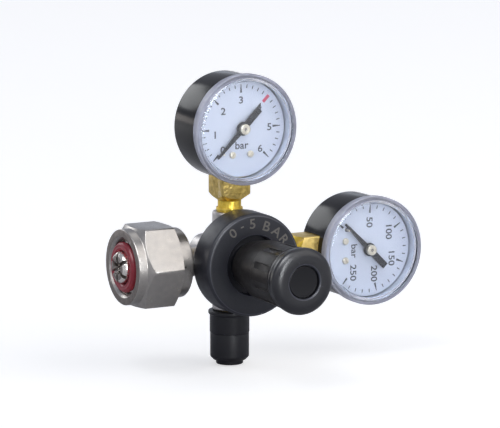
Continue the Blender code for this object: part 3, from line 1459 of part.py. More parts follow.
def make_bourdon_tube(prefix, finishes):
    """The flattened, curved tube that straightens with pressure, closed by a tip with a pin."""
    inner_r = TUBE_MEAN_R - TUBE_WIDTH / 2
    start = 180.0 + math.degrees(math.acos((STEM_SQUARE / 2 + GAP) / inner_r))
    shape = bmesh.new()
    section = []
    for i in range(TUBE_SIDES):
        angle = math.tau * i / TUBE_SIDES
        across = TUBE_MEAN_R + TUBE_WIDTH / 2 * math.sin(angle)
        section.append(shape.verts.new((across, 0.0, TUBE_MIDDLE + TUBE_DEPTH / 2 * math.cos(angle))))
    face = shape.faces.new(section)
    turn = Matrix.Rotation(math.radians(TUBE_END_ANGLE), 3, "Z")
    bmesh.ops.rotate(shape, verts=section, cent=(0.0, 0.0, 0.0), matrix=turn)
    bmesh.ops.spin(
        shape,
        geom=[face],
        cent=(0.0, 0.0, 0.0),
        axis=(0.0, 0.0, 1.0),
        angle=math.radians(start - TUBE_END_ANGLE),
        steps=TUBE_STEPS,
    )
    brass = finishes["brass"]
    tube = from_bmesh(prefix + "bourdon_tube", shape, FRONT, brass)
    root = polar(TUBE_MEAN_R, TUBE_END_ANGLE + TIP_TAB_TURN)
    tab = wrap([(root, TIP_TAB_R), (tip_pin_place(), TIP_TAB_R)])
    back = SECTOR_FRONT - SECTOR_THICKNESS
    fuse(tube, extruded("tab", tab, back, SECTOR_FRONT, FRONT, brass))
    pin = disc(tip_pin_place(), PIVOT_R, DRILLED)
    fuse(tube, extruded("pin", pin, back + SECTOR_THICKNESS / 2, link_front() + GAP, FRONT, brass))
    return tube


def main():
    """Clears the scene and builds the regulator."""
    for item in list(bpy.data.objects):
        bpy.data.objects.remove(item)
    finishes = make_finishes()
    make_body(finishes)
    make_inlet(finishes)
    make_nut(finishes)
    make_valve(finishes)
    make_diaphragm(finishes)
    make_bonnet(finishes)
    make_range_spring(finishes)
    make_knob(finishes)
    make_outlet(finishes)
    make_gauge("low_", LOW_MIDDLE, 0.0, finishes)
    make_gauge("high_", HIGH_MIDDLE, math.pi / 2, finishes)


main()
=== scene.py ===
"""Looks of the carbon dioxide regulator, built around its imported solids.

Sizes are in millimetres from the crossing of the body's three axes, or from the middle of a dial,
along the way that a piece points. Only the finished meshes are in metres.
"""

from __future__ import annotations

import logging
import math
from dataclasses import dataclass, field
from enum import Enum
from typing import Callable, Sequence

import bmesh
import bpy
from mathutils import Matrix, Vector

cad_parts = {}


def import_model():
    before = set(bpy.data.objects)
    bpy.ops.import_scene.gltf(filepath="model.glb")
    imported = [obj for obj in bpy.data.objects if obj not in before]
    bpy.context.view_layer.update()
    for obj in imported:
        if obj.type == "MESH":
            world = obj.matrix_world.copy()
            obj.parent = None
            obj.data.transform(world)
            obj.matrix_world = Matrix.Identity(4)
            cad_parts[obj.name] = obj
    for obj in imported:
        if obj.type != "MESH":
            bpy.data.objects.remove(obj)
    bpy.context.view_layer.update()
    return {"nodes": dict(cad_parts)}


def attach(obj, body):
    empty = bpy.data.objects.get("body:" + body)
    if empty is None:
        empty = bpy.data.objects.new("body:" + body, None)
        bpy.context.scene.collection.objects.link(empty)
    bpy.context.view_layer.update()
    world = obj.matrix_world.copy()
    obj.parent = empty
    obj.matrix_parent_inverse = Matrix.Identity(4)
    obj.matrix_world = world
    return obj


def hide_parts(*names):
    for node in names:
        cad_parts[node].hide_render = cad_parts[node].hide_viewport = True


LOG = logging.getLogger("regulator")
MM = 0.001
CROSSING = Vector((0.0478, 0.0, 0.0))
LOW_MIDDLE = Vector((0.0, 0.0, 0.0508))
HIGH_MIDDLE = Vector((0.0552, 0.0, 0.0))

# How far a cutting tool reaches past the face that it cuts, in millimetres
PAST = 1.0

Colour = tuple[float, float, float]
Point = tuple[float, float]
Corner = tuple[float, float, float]


class Aim(Enum):
    """The way that a piece's own +Z points on the regulator."""

    UP = Matrix.Identity(4)
    DOWN = Matrix.Rotation(math.pi, 4, "X")
    FRONT = Matrix.Rotation(math.pi / 2, 4, "X")
    BACK = Matrix.Rotation(-math.pi / 2, 4, "X")
    LEFT = Matrix.Rotation(-math.pi / 2, 4, "Y")
    RIGHT = Matrix.Rotation(math.pi / 2, 4, "Y")

    def at_crossing(self) -> Matrix:
        """The place of a piece whose own origin is the crossing."""
        return Matrix.Translation(CROSSING) @ self.value


class Cut(Enum):
    """What a boolean modifier does with its tool."""

    AWAY = "DIFFERENCE"
    TOGETHER = "UNION"
    COMMON = "INTERSECT"


# Modelling by edit-mode operators


def activate(item: bpy.types.Object) -> None:
    """Leaves edit mode and makes one object the only selected one.

    Args:
        item: The object to select and make active.
    """
    active = bpy.context.view_layer.objects.active
    if active is not None and active.mode != "OBJECT":
        bpy.ops.object.mode_set(mode="OBJECT")
    bpy.ops.object.select_all(action="DESELECT")
    item.select_set(True)
    bpy.context.view_layer.objects.active = item


def open_for_edit(item: bpy.types.Object) -> None:
    """Enters edit mode in vertex selection with everything selected.

    Args:
        item: The mesh object to edit.
    """
    activate(item)
    bpy.ops.object.mode_set(mode="EDIT")
    bpy.ops.mesh.select_mode(type="VERT")
    bpy.ops.mesh.select_all(action="SELECT")


def select_where(item: bpy.types.Object, test: Callable[[Vector], bool]) -> None:
    """Selects the points of an open mesh by their place.

    Args:
        item: The object in edit mode.
        test: Says whether the point at a place, in metres, is selected.
    """
    mesh = bmesh.from_edit_mesh(item.data)
    for vert in mesh.verts:
        vert.select = test(vert.co)
    mesh.select_flush_mode()
    mesh.select_flush(True)
    bmesh.update_edit_mesh(item.data)


def clean(item: bpy.types.Object) -> None:
    """Merges doubles, points the faces outwards and leaves edit mode.

    Args:
        item: The object to clean.
    """
    open_for_edit(item)
    bpy.ops.mesh.remove_doubles(threshold=0.0005 * MM)
    bpy.ops.mesh.normals_make_consistent(inside=False)
    bpy.ops.object.mode_set(mode="OBJECT")


def trace(name: str, points: Sequence[tuple[float, float, float]], closed: bool) -> bpy.types.Object:
    """Draws a line by extruding one point of a plane, and leaves it open for edit.

    Args:
        name: The object's name.
        points: Places in millimetres.
        closed: Whether an edge joins the last point to the first.

    Returns:
        The object, in edit mode, with the whole line selected.
    """
    if bpy.context.view_layer.objects.active is not None:
        activate(bpy.context.view_layer.objects.active)
    bpy.ops.object.select_all(action="DESELECT")
    bpy.ops.mesh.primitive_plane_add(size=MM)
    item = bpy.context.object
    item.name = name
    open_for_edit(item)
    bpy.ops.mesh.merge(type="CENTER")
    spots = [Vector(point) * MM for point in points]
    bpy.ops.transform.translate(value=spots[0])
    for before, after in zip(spots, spots[1:]):
        bpy.ops.mesh.extrude_region_move(TRANSFORM_OT_translate={"value": after - before})
    if closed:
        mesh = bmesh.from_edit_mesh(item.data)
        for vert in mesh.verts:
            vert.select = len(vert.link_edges) == 1
        mesh.select_flush(False)
        bmesh.update_edit_mesh(item.data)
        bpy.ops.mesh.edge_face_add()
    bpy.ops.mesh.select_all(action="SELECT")
    return item


def lathe(name: str, outline: Sequence[Point], steps: int = 96) -> bpy.types.Object:
    """Spins an outline about Z into a closed solid.

    Args:
        name: The object's name.
        outline: (radius, height) points, in millimetres.
        steps: Facets of the full circle.

    Returns:
        The turned piece, in object mode.
    """
    closed = outline[0][0] > 0.0 or outline[-1][0] > 0.0
    item = trace(name, [(radius, 0.0, height) for radius, height in outline], closed)
    bpy.ops.mesh.spin(
        steps=steps, angle=math.tau, center=(0.0, 0.0, 0.0), axis=(0.0, 0.0, 1.0), use_auto_merge=True
    )
    clean(item)
    return item


def prism(name: str, outline: Sequence[Point], low: float, high: float) -> bpy.types.Object:
    """Extrudes a flat outline along Z.

    Args:
        name: The object's name.
        outline: (x, y) points, in millimetres.
        low: Height of the lower face.
        high: Height of the upper face.

    Returns:
        The flat piece, in object mode.
    """
    item = trace(name, [(x, y, low) for x, y in outline], True)
    bpy.ops.mesh.edge_face_add()
    bpy.ops.mesh.extrude_region_move(TRANSFORM_OT_translate={"value": (0.0, 0.0, (high - low) * MM)})
    clean(item)
    return item


def carve(target: bpy.types.Object, tool: bpy.types.Object, how: Cut) -> None:
    """Changes a piece by a tool that is then thrown away.

    Args:
        target: The piece to change.
        tool: The other solid.
        how: What the tool does.
    """
    modifier = target.modifiers.new("carve", "BOOLEAN")
    modifier.operation = how.value
    modifier.solver = "EXACT"
    modifier.object = tool
    activate(target)
    bpy.ops.object.modifier_apply(modifier=modifier.name)
    bpy.data.objects.remove(tool)


def soften(item: bpy.types.Object, width: float, segments: int = 2, angle: float = 30.0) -> None:
    """Bevels every edge that is sharper than an angle.

    Args:
        item: The piece to soften.
        width: The bevel's width, in millimetres.
        segments: Faces across the bevel.
        angle: The least angle between faces, in degrees.
    """
    modifier = item.modifiers.new("soften", "BEVEL")
    modifier.width = width * MM
    modifier.segments = segments
    modifier.limit_method = "ANGLE"
    modifier.angle_limit = math.radians(angle)
    activate(item)
    bpy.ops.object.modifier_apply(modifier=modifier.name)
    clean(item)


def place(item: bpy.types.Object, matrix: Matrix) -> bpy.types.Object:
    """Moves a piece and applies its place to its mesh.

    Args:
        item: The piece, still about its own origin.
        matrix: Its place on the regulator.

    Returns:
        The same piece.
    """
    activate(item)
    item.matrix_world = matrix
    bpy.ops.object.transform_apply(location=True, rotation=True, scale=True)
    return item


def join(items: Sequence[bpy.types.Object], name: str) -> bpy.types.Object:
    """Joins pieces into one object.

    Args:
        items: The pieces; the first one takes in the others.
        name: The joined object's name.

    Returns:
        The joined object.
    """
    activate(items[0])
    for item in items:
        item.select_set(True)
    bpy.ops.object.join()
    items[0].name = name
    return items[0]


def repeat_around(item: bpy.types.Object, count: int, angle: float) -> None:
    """Copies everything in a piece around Z, within its own mesh.

    Args:
        item: The piece to repeat.
        count: How many copies are added.
        angle: The turn from the first to the last, in degrees.
    """
    open_for_edit(item)
    bpy.ops.mesh.spin(
        steps=count, dupli=True, angle=math.radians(angle), center=(0.0, 0.0, 0.0), axis=(0.0, 0.0, 1.0)
    )
    bpy.ops.object.mode_set(mode="OBJECT")


def lettering(
    text: str, height: float, thickness: float, bold: float, widen: float = 1.0
) -> bpy.types.Object:
    """Makes flat letters, centred on the origin, as a closed mesh.

    Args:
        text: What the letters say.
        height: Height of the whole word, in millimetres.
        thickness: Thickness of the print, in millimetres.
        bold: How far the strokes are fattened, as a share of the font size.
        widen: How much wider than the font the letters are.

    Returns:
        The letters, in object mode.
    """
    activate(bpy.context.view_layer.objects.active)
    bpy.ops.object.select_all(action="DESELECT")
    bpy.ops.object.text_add()
    item = bpy.context.object
    item.data.body = text
    item.data.resolution_u = 4
    item.data.offset = bold
    item.data.extrude = 0.5
    bpy.ops.object.convert(target="MESH")
    low = Vector([min(v.co[i] for v in item.data.vertices) for i in range(3)])
    high = Vector([max(v.co[i] for v in item.data.vertices) for i in range(3)])
    scale = height * MM / (high.y - low.y)
    centre = Matrix.Translation(-(low + high) / 2)
    place(item, Matrix.Diagonal((scale * widen, scale, thickness * MM, 1.0)) @ centre)
    clean(item)
    return item


def rounded(corners: Sequence[Corner], closed: bool = True, steps: int = 4) -> list[Point]:
    """Turns corners with fillet radii into the points of an outline.

    Args:
        corners: (across, along, fillet) for each corner, in millimetres.
        closed: Whether the outline returns to its first corner.
        steps: Segments of each fillet.

    Returns:
        The outline's points.
    """
    points: list[Point] = []
    count = len(corners)
    for i, (x, y, fillet) in enumerate(corners):
        at_end = not closed and i in (0, count - 1)
        if fillet <= 0.0 or at_end:
            points.append((x, y))
            continue
        corner = Vector((x, y))
        before = Vector(corners[i - 1][:2]) - corner
        after = Vector(corners[(i + 1) % count][:2]) - corner
        half = before.angle(after) / 2
        reach = min(fillet / math.tan(half), 0.49 * before.length, 0.49 * after.length)
        radius = reach * math.tan(half)
        middle = corner + (before.normalized() + after.normalized()).normalized() * radius / math.sin(half)
        start = corner + before.normalized() * reach - middle
        end = corner + after.normalized() * reach - middle
        sweep = start.angle_signed(end)
        for step in range(steps + 1):
            turned = start.copy()
            turned.rotate(Matrix.Rotation(-sweep * step / steps, 2))
            points.append(tuple(middle + turned))
    return points


def polar(radius: float, degrees: float) -> Point:
    """A point by its radius and its angle from +X."""
    angle = math.radians(degrees)
    return (radius * math.cos(angle), radius * math.sin(angle))


def arc(radius: float, start: float, end: float, steps: int) -> list[Point]:
    """Points on a circle about the origin, both ends included."""
    return [polar(radius, start + (end - start) * i / steps) for i in range(steps + 1)]


def regular(across_flats: float, sides: int, first_corner: float) -> list[Corner]:
    """The corners of a regular outline, not filleted.

    Args:
        across_flats: Its width across flats, in millimetres.
        sides: How many sides it has.
        first_corner: The first corner's angle from +X, in degrees.

    Returns:
        The corners, each with a fillet of 0.
    """
    corner_r = across_flats / 2 / math.cos(math.pi / sides)
    spots = [polar(corner_r, first_corner + 360.0 * i / sides) for i in range(sides)]
    return [(x, y, 0.0) for x, y in spots]


def box_corners(half_x: float, half_y: float, fillet: float) -> list[Corner]:
    """The corners of a rectangle about the origin.

    Args:
        half_x: Half its width, in millimetres.
        half_y: Half its height.
        fillet: The radius of each corner.

    Returns:
        The four corners.
    """
    return [
        (-half_x, -half_y, fillet),
        (half_x, -half_y, fillet),
        (half_x, half_y, fillet),
        (-half_x, half_y, fillet),
    ]


def drum(radius: float, low: float, high: float) -> list[Point]:
    """The outline of a plain cylinder about Z, for the lathe."""
    return [(0.0, low), (radius, low), (radius, high), (0.0, high)]


def bar_mark(outer: Point, inner: Point) -> list[Point]:
    """A mark that points away from the origin, from the half width and radius of its two ends."""
    return [(-inner[0], inner[1]), (inner[0], inner[1]), (outer[0], outer[1]), (-outer[0], outer[1])]


# Materials


def add(
    tree: bpy.types.NodeTree, kind: str, inputs: dict | None = None, **settings: object
) -> bpy.types.Node:
    """Adds a node and fills its sockets.

    Args:
        tree: The node tree.
        kind: The node's type.
        inputs: Socket name or number to a value, or to a socket to link from.
        **settings: The node's own settings.

    Returns:
        The new node.
    """
    item = tree.nodes.new(kind)
    for key, value in settings.items():
        setattr(item, key, value)
    for key, value in (inputs or {}).items():
        if isinstance(value, bpy.types.NodeSocket):
            tree.links.new(value, item.inputs[key])
        else:
            item.inputs[key].default_value = value
    return item


def math_of(tree: bpy.types.NodeTree, how: str, *values: object) -> bpy.types.NodeSocket:
    """The result of a Math node."""
    return add(tree, "ShaderNodeMath", dict(enumerate(values)), operation=how).outputs[0]


def noise_of(
    tree: bpy.types.NodeTree, vector: object, scale: object, detail: float
) -> bpy.types.NodeSocket:
    """The height of a Noise texture."""
    inputs = {"Vector": vector, "Scale": scale, "Detail": detail, "Roughness": 0.55}
    return add(tree, "ShaderNodeTexNoise", inputs).outputs[0]


def spread(tree: bpy.types.NodeTree, value: object, ends: Sequence[float]) -> bpy.types.NodeSocket:
    """Maps a value from one range to another.

    Args:
        tree: The node tree.
        value: A number, or a socket to link from.
        ends: The first range's two ends, then the second's.

    Returns:
        The mapped value, which stays within the second range.
    """
    names = ("From Min", "From Max", "To Min", "To Max")
    inputs = {"Value": value, **dict(zip(names, ends))}
    return add(tree, "ShaderNodeMapRange", inputs).outputs[0]


def mix_colours(
    tree: bpy.types.NodeTree, share: object, first: object, second: object
) -> bpy.types.NodeSocket:
    """Mixes two colours.

    Args:
        tree: The node tree.
        share: How much of the second colour, from 0 to 1.
        first: A colour, or a socket to link from.
        second: Another one.

    Returns:
        The mixed colour.
    """
    sides = [(*side, 1.0) if isinstance(side, tuple) else side for side in (first, second)]
    inputs = {0: share, 6: sides[0], 7: sides[1]}
    return add(tree, "ShaderNodeMix", inputs, data_type="RGBA").outputs[2]


class Effect(Enum):
    """The effects that several materials share, each one node group."""

    SPECKLE = "speckle"
    TURNING = "turning_lines"
    WEAR = "edge_wear"
    GRAIN = "cast_grain"

    def group(self) -> bpy.types.NodeTree:
        """The effect's node group, built once."""
        known = bpy.data.node_groups.get(self.value)
        return known if known is not None else EFFECT_MAKERS[self](self.value)


def new_group(name: str, numbers: Sequence[str]) -> tuple[bpy.types.NodeTree, bpy.types.Node]:
    """Starts a node group that takes a vector and numbers and gives one value.

    Args:
        name: The group's name.
        numbers: Names of its number inputs.

    Returns:
        The group and its input node.
    """
    group = bpy.data.node_groups.new(name, "ShaderNodeTree")
    group.interface.new_socket("Vector", in_out="INPUT", socket_type="NodeSocketVector")
    for number in numbers:
        group.interface.new_socket(number, in_out="INPUT", socket_type="NodeSocketFloat")
    group.interface.new_socket("Value", in_out="OUTPUT", socket_type="NodeSocketFloat")
    return group, group.nodes.new("NodeGroupInput")


def end_group(group: bpy.types.NodeTree, value: bpy.types.NodeSocket) -> bpy.types.NodeTree:
    """Links a group's only output and returns the group."""
    add(group, "NodeGroupOutput", {0: value})
    return group


def make_speckle(name: str) -> bpy.types.NodeTree:
    """Soft spots of two sizes, from 0 to 1.

    Args:
        name: The group's name.

    Returns:
        The finished group.
    """
    group, given = new_group(name, ["Scale"])
    large = noise_of(group, given.outputs["Vector"], given.outputs["Scale"], 3.0)
    fine_scale = math_of(group, "MULTIPLY", given.outputs["Scale"], 7.3)
    fine = noise_of(group, given.outputs["Vector"], fine_scale, 4.0)
    both = math_of(group, "ADD", large, math_of(group, "MULTIPLY", fine, 0.6))
    return end_group(group, spread(group, both, (0.55, 1.05, 0.0, 1.0)))


def make_turning(name: str) -> bpy.types.NodeTree:
    """The fine rings that a lathe leaves about Z, on faces and on sides.

    Args:
        name: The group's name.

    Returns:
        The finished group.
    """
    group, given = new_group(name, ["Lines"])
    parts = add(group, "ShaderNodeSeparateXYZ", {0: given.outputs["Vector"]})
    across = math_of(group, "POWER", parts.outputs[0], 2.0)
    across = math_of(group, "ADD", across, math_of(group, "POWER", parts.outputs[1], 2.0))
    travel = math_of(group, "ADD", math_of(group, "SQRT", across), parts.outputs[2])
    drift = noise_of(group, given.outputs["Vector"], 260.0, 2.0)
    phase = math_of(group, "MULTIPLY", travel, given.outputs["Lines"])
    phase = math_of(group, "ADD", phase, math_of(group, "MULTIPLY", drift, 3.0))
    wave = math_of(group, "SINE", phase)
    return end_group(group, spread(group, wave, (-1.0, 1.0, 0.0, 1.0)))


def make_wear(name: str) -> bpy.types.NodeTree:
    """Where outer edges are rubbed, broken up by noise.

    Args:
        name: The group's name.

    Returns:
        The finished group.
    """
    group, given = new_group(name, ["Scale"])
    bend = group.nodes.new("ShaderNodeNewGeometry").outputs["Pointiness"]
    edge = spread(group, bend, (0.515, 0.58, 0.0, 1.0))
    noise = noise_of(group, given.outputs["Vector"], given.outputs["Scale"], 5.0)
    patch = spread(group, noise, (0.4, 0.6, 0.2, 1.0))
    return end_group(group, math_of(group, "MULTIPLY", edge, patch))


def make_grain(name: str) -> bpy.types.NodeTree:
    """A fine pebbled surface, from 0 to 1.

    Args:
        name: The group's name.

    Returns:
        The finished group.
    """
    group, given = new_group(name, ["Scale"])
    inputs = {"Vector": given.outputs["Vector"], "Scale": given.outputs["Scale"]}
    cells = add(group, "ShaderNodeTexVoronoi", inputs).outputs["Distance"]
    fine = noise_of(group, given.outputs["Vector"], given.outputs["Scale"], 4.0)
    return end_group(group, math_of(group, "MULTIPLY_ADD", cells, 0.5, math_of(group, "MULTIPLY", fine, 0.7)))


EFFECT_MAKERS = {
    Effect.SPECKLE: make_speckle,
    Effect.TURNING: make_turning,
    Effect.WEAR: make_wear,
    Effect.GRAIN: make_grain,
}


def effect_of(tree: bpy.types.NodeTree, kind: Effect, **inputs: object) -> bpy.types.NodeSocket:
    """The value of an effect's group, placed in a tree."""
    return add(tree, "ShaderNodeGroup", inputs, node_tree=kind.group()).outputs[0]


@dataclass(frozen=True)
class Finish:
    """One finish: two colours that vary in spots, a range of roughness, bumps and worn edges.

    Scales are in cycles per metre and heights in millimetres; turning is the pitch of the lathe's
    rings, about the axis that runs through the centre.
    """

    name: str
    slot: str
    colours: tuple[Colour, Colour]
    roughness: tuple[float, float]
    metallic: float = 0.0
    spot_scale: float = 300.0
    grain_scale: float = 2500.0
    grain_height: float = 0.01
    turning: float = 0.0
    turning_height: float = 0.002
    axis: Aim = Aim.UP
    centre: tuple[float, float, float] = (0.0478, 0.0, 0.0)
    wear: float = 0.0
    worn: Colour = (0.6, 0.6, 0.6)
    sheen: float = 0.0
    specular: float = 0.5

    def height(self, tree: bpy.types.NodeTree, spot: bpy.types.NodeSocket) -> bpy.types.NodeSocket:
        """The surface's bumps, in metres.

        Args:
            tree: The material's node tree.
            spot: The Object coordinates.

        Returns:
            The height that feeds the Bump node.
        """
        grain = effect_of(tree, Effect.GRAIN, Vector=spot, Scale=self.grain_scale)
        total = math_of(tree, "MULTIPLY", grain, self.grain_height * MM)
        if self.turning > 0.0:
            turn = self.axis.value.inverted().to_euler()
            middle = -(self.axis.value.inverted() @ Vector(self.centre))
            centred = add(tree, "ShaderNodeMapping", {"Vector": spot, "Location": middle, "Rotation": turn})
            lines = math.tau / (self.turning * MM)
            rings = effect_of(tree, Effect.TURNING, Vector=centred.outputs[0], Lines=lines)
            total = math_of(tree, "ADD", total, math_of(tree, "MULTIPLY", rings, self.turning_height * MM))
        return total

    def material(self) -> bpy.types.Material:
        """The finish's material, built once.

        Returns:
            The material, the same one at every call.
        """
        known = bpy.data.materials.get(self.name)
        if known is not None:
            return known
        material = bpy.data.materials.new(self.name)
        material.use_nodes = True
        tree = material.node_tree
        shader = tree.nodes["Principled BSDF"]
        spot = add(tree, "ShaderNodeTexCoord").outputs["Object"]
        spots = effect_of(tree, Effect.SPECKLE, Vector=spot, Scale=self.spot_scale)
        colour = mix_colours(tree, spots, *self.colours)
        rough = spread(tree, spots, (0.0, 1.0, *self.roughness))
        if self.wear > 0.0:
            rubbed = effect_of(tree, Effect.WEAR, Vector=spot, Scale=self.spot_scale * 2)
            share = math_of(tree, "MULTIPLY", rubbed, self.wear)
            colour = mix_colours(tree, share, colour, self.worn)
        height = self.height(tree, spot)
        bump = add(tree, "ShaderNodeBump", {"Height": height, "Distance": 1.0, "Strength": 1.0})
        tree.links.new(colour, shader.inputs["Base Color"])
        tree.links.new(rough, shader.inputs["Roughness"])
        tree.links.new(bump.outputs[0], shader.inputs["Normal"])
        self.set_constants(shader)
        self.extend(tree, shader)
        return material

    def set_constants(self, shader: bpy.types.Node) -> None:
        """Sets what is the same all over the surface.

        Args:
            shader: The material's Principled BSDF.
        """
        shader.inputs["Metallic"].default_value = self.metallic
        shader.inputs["Sheen Weight"].default_value = self.sheen
        shader.inputs["Specular IOR Level"].default_value = self.specular

    def extend(self, tree: bpy.types.NodeTree, shader: bpy.types.Node) -> None:
        """Adds what only a subclass has.

        Args:
            tree: The material's node tree.
            shader: Its Principled BSDF.
        """


@dataclass(frozen=True)
class ClearFinish(Finish):
    """Clear plastic that lets lamp light through to what is under it."""

    shadow: float = 0.06
    clear: float = 1.0
    ior: float = 1.49

    def extend(self, tree: bpy.types.NodeTree, shader: bpy.types.Node) -> None:
        """Makes the plastic see-through, and nearly so for shadows.

        Args:
            tree: The material's node tree.
            shader: Its Principled BSDF.
        """
        shader.inputs["Transmission Weight"].default_value = self.clear
        shader.inputs["IOR"].default_value = self.ior
        path = tree.nodes.new("ShaderNodeLightPath")
        dim = math_of(tree, "MULTIPLY", path.outputs["Is Shadow Ray"], 1.0 - self.shadow)
        tree.links.new(math_of(tree, "SUBTRACT", 1.0, dim), shader.inputs["Alpha"])


@dataclass(frozen=True)
class Finishes:
    """Every finish on the regulator."""

    nut: Finish = Finish(
        "nut_nickel", "nickel_plate", ((0.45, 0.425, 0.395), (0.365, 0.345, 0.33)), (0.26, 0.38), 1.0,
        420.0, 1800.0, 0.014, 0.5, 0.0012, Aim.LEFT, wear=0.6, worn=(0.85, 0.82, 0.78),
    )
    # A darker copy of the nickel: painted shade on the ring round the nut's mouth and in the hub's dimple
    mouth: Finish = Finish(
        "painted_shade_nickel", "nickel_plate", ((0.26, 0.235, 0.215), (0.17, 0.15, 0.14)), (0.30, 0.46), 1.0,
        450.0, 2200.0, 0.008, 0.4, 0.002, Aim.LEFT, wear=0.6, worn=(0.75, 0.70, 0.66),
    )
    nickel: Finish = Finish(
        "body_nickel", "nickel_plate", ((0.56, 0.54, 0.53), (0.44, 0.42, 0.41)), (0.30, 0.46), 1.0,
        350.0, 1500.0, 0.02, wear=0.4, worn=(0.80, 0.78, 0.76),
    )
    # A darker copy of the nickel: painted shade on the nose, off its flank
    nose_painted_shade: Finish = Finish(
        "nose_painted_shade_nickel", "nickel_plate", ((0.30, 0.27, 0.25), (0.17, 0.15, 0.14)), (0.22, 0.38), 1.0,
        500.0, 2500.0, 0.008, 0.35, 0.0015, Aim.LEFT, wear=0.8, worn=(0.9, 0.86, 0.8),
    )
    # A lighter copy of the nickel: painted highlight on the nose's flank and the nut's thread
    painted_highlight_nickel: Finish = Finish(
        "painted_highlight_nickel", "nickel_plate", ((0.86, 0.82, 0.76), (0.70, 0.66, 0.61)), (0.20, 0.32), 1.0,
        500.0, 2500.0, 0.006, 0.35, 0.001, Aim.LEFT, wear=0.6, worn=(0.95, 0.92, 0.86),
    )
    # A lighter, bluish copy of the black moulding: painted highlight on the bonnet's edge and the lips of the
    # recesses
    edge: Finish = Finish(
        "painted_highlight_moulding", "black_moulding", ((0.075, 0.078, 0.100), (0.050, 0.052, 0.070)), (0.28, 0.38), 0.0,
        260.0, 5200.0, 0.004, specular=0.5,
    )
    hub: Finish = Finish(
        "hub_nickel", "nickel_plate", ((0.66, 0.61, 0.50), (0.48, 0.43, 0.34)), (0.24, 0.38), 1.0,
        900.0, 6000.0, 0.003, wear=0.5, worn=(0.95, 0.9, 0.8),
    )
    brass: Finish = Finish(
        "gauge_brass", "brass", ((0.83, 0.61, 0.20), (0.56, 0.40, 0.12)), (0.26, 0.44), 1.0,
        420.0, 1500.0, 0.03, wear=0.6, worn=(0.95, 0.78, 0.42),
    )
    cast_brass: Finish = Finish(
        "cast_brass", "brass", ((0.72, 0.53, 0.16), (0.34, 0.24, 0.06)), (0.28, 0.50), 1.0,
        520.0, 700.0, 0.22, wear=0.7, worn=(0.95, 0.80, 0.48),
    )
    neck_brass: Finish = Finish(
        "neck_brass", "brass", ((0.95, 0.70, 0.12), (0.66, 0.45, 0.06)), (0.30, 0.46), 1.0,
        520.0, 900.0, 0.08, wear=0.6, worn=(1.0, 0.86, 0.4),
    )
    steel: Finish = Finish(
        "plain_steel", "spring_steel", ((0.58, 0.58, 0.60), (0.42, 0.42, 0.44)), (0.28, 0.42), 1.0,
        600.0, 4000.0, 0.004,
    )
    bronze: Finish = Finish(
        "filter_bronze", "sintered_bronze", ((0.56, 0.36, 0.18), (0.34, 0.21, 0.10)), (0.6, 0.85), 1.0,
        1500.0, 4200.0, 0.06,
    )
    moulding: Finish = Finish(
        "satin_moulding", "black_moulding", ((0.029, 0.030, 0.040), (0.022, 0.023, 0.031)), (0.36, 0.46), 0.0,
        260.0, 5200.0, 0.006, wear=0.5, worn=(0.12, 0.13, 0.17), specular=0.4,
    )
    grip: Finish = Finish(
        "grip_moulding", "black_moulding", ((0.022, 0.019, 0.018), (0.015, 0.013, 0.013)), (0.34, 0.46), 0.0,
        240.0, 4600.0, 0.006, wear=0.6, worn=(0.11, 0.10, 0.11), specular=0.27,
    )
    cap: Finish = Finish(
        "cap_moulding", "black_moulding", ((0.015, 0.015, 0.021), (0.011, 0.011, 0.015)), (0.30, 0.38), 0.0,
        220.0, 4200.0, 0.003, wear=0.4, worn=(0.09, 0.09, 0.12), specular=0.6,
    )
    badge: Finish = Finish(
        "badge_moulding", "black_moulding", ((0.007, 0.007, 0.010), (0.005, 0.005, 0.008)), (0.16, 0.24), 0.0,
        220.0, 3000.0, 0.002, specular=0.4,
    )
    paint: Finish = Finish(
        "case_paint", "black_gauge_paint", ((0.006, 0.006, 0.008), (0.012, 0.010, 0.010)), (0.13, 0.20), 0.0,
        150.0, 700.0, 0.005, wear=0.2, worn=(0.05, 0.045, 0.045), specular=0.2,
    )
    pale_inner_wall: Finish = Finish(
        "case_pale_inner_wall", "black_gauge_paint", ((0.50, 0.55, 0.66), (0.42, 0.46, 0.56)), (0.45, 0.6), 0.0,
        300.0, 2200.0, 0.004,
    )
    fitting: Finish = Finish(
        "outlet_plastic", "black_fitting", ((0.012, 0.012, 0.018), (0.008, 0.008, 0.012)), (0.36, 0.44), 0.0,
        300.0, 4800.0, 0.006, wear=0.4, worn=(0.09, 0.09, 0.11), specular=0.45,
    )
    rubber: Finish = Finish(
        "soft_rubber", "black_rubber", ((0.030, 0.030, 0.030), (0.022, 0.022, 0.022)), (0.55, 0.72), 0.0,
        600.0, 3600.0, 0.01, sheen=0.1,
    )
    seal: Finish = Finish(
        "red_ring_rubber", "red_seal", ((0.40, 0.024, 0.045), (0.29, 0.014, 0.028)), (0.30, 0.44), 0.0,
        500.0, 3000.0, 0.006,
    )
    nylon: Finish = Finish(
        "seat_nylon", "white_nylon", ((0.82, 0.80, 0.75), (0.76, 0.74, 0.69)), (0.42, 0.55), 0.0,
        400.0, 3000.0, 0.006,
    )
    dial: Finish = Finish(
        "dial_enamel", "white_dial", ((0.49, 0.52, 0.61), (0.47, 0.50, 0.585)), (0.42, 0.5), 0.0,
        120.0, 2400.0, 0.002,
    )
    ink: Finish = Finish(
        "black_ink", "black_gauge_paint", ((0.018, 0.018, 0.028), (0.034, 0.034, 0.046)), (0.45, 0.6), 0.0,
        900.0, 5000.0, 0.002, specular=0.3,
    )
    red_ink: Finish = Finish(
        "red_ink", "red_seal", ((0.55, 0.040, 0.105), (0.48, 0.030, 0.085)), (0.45, 0.6), 0.0,
        900.0, 5000.0, 0.002,
    )
    print: Finish = Finish(
        "bonnet_print", "white_nylon", ((0.22, 0.20, 0.175), (0.15, 0.14, 0.125)), (0.5, 0.65), 0.0,
        1100.0, 5000.0, 0.003,
    )
    pointer: Finish = Finish(
        "pointer_paint", "black_gauge_paint", ((0.008, 0.008, 0.012), (0.012, 0.012, 0.016)), (0.40, 0.48),
        0.0, 600.0, 3500.0, 0.0006, specular=0.2,
    )
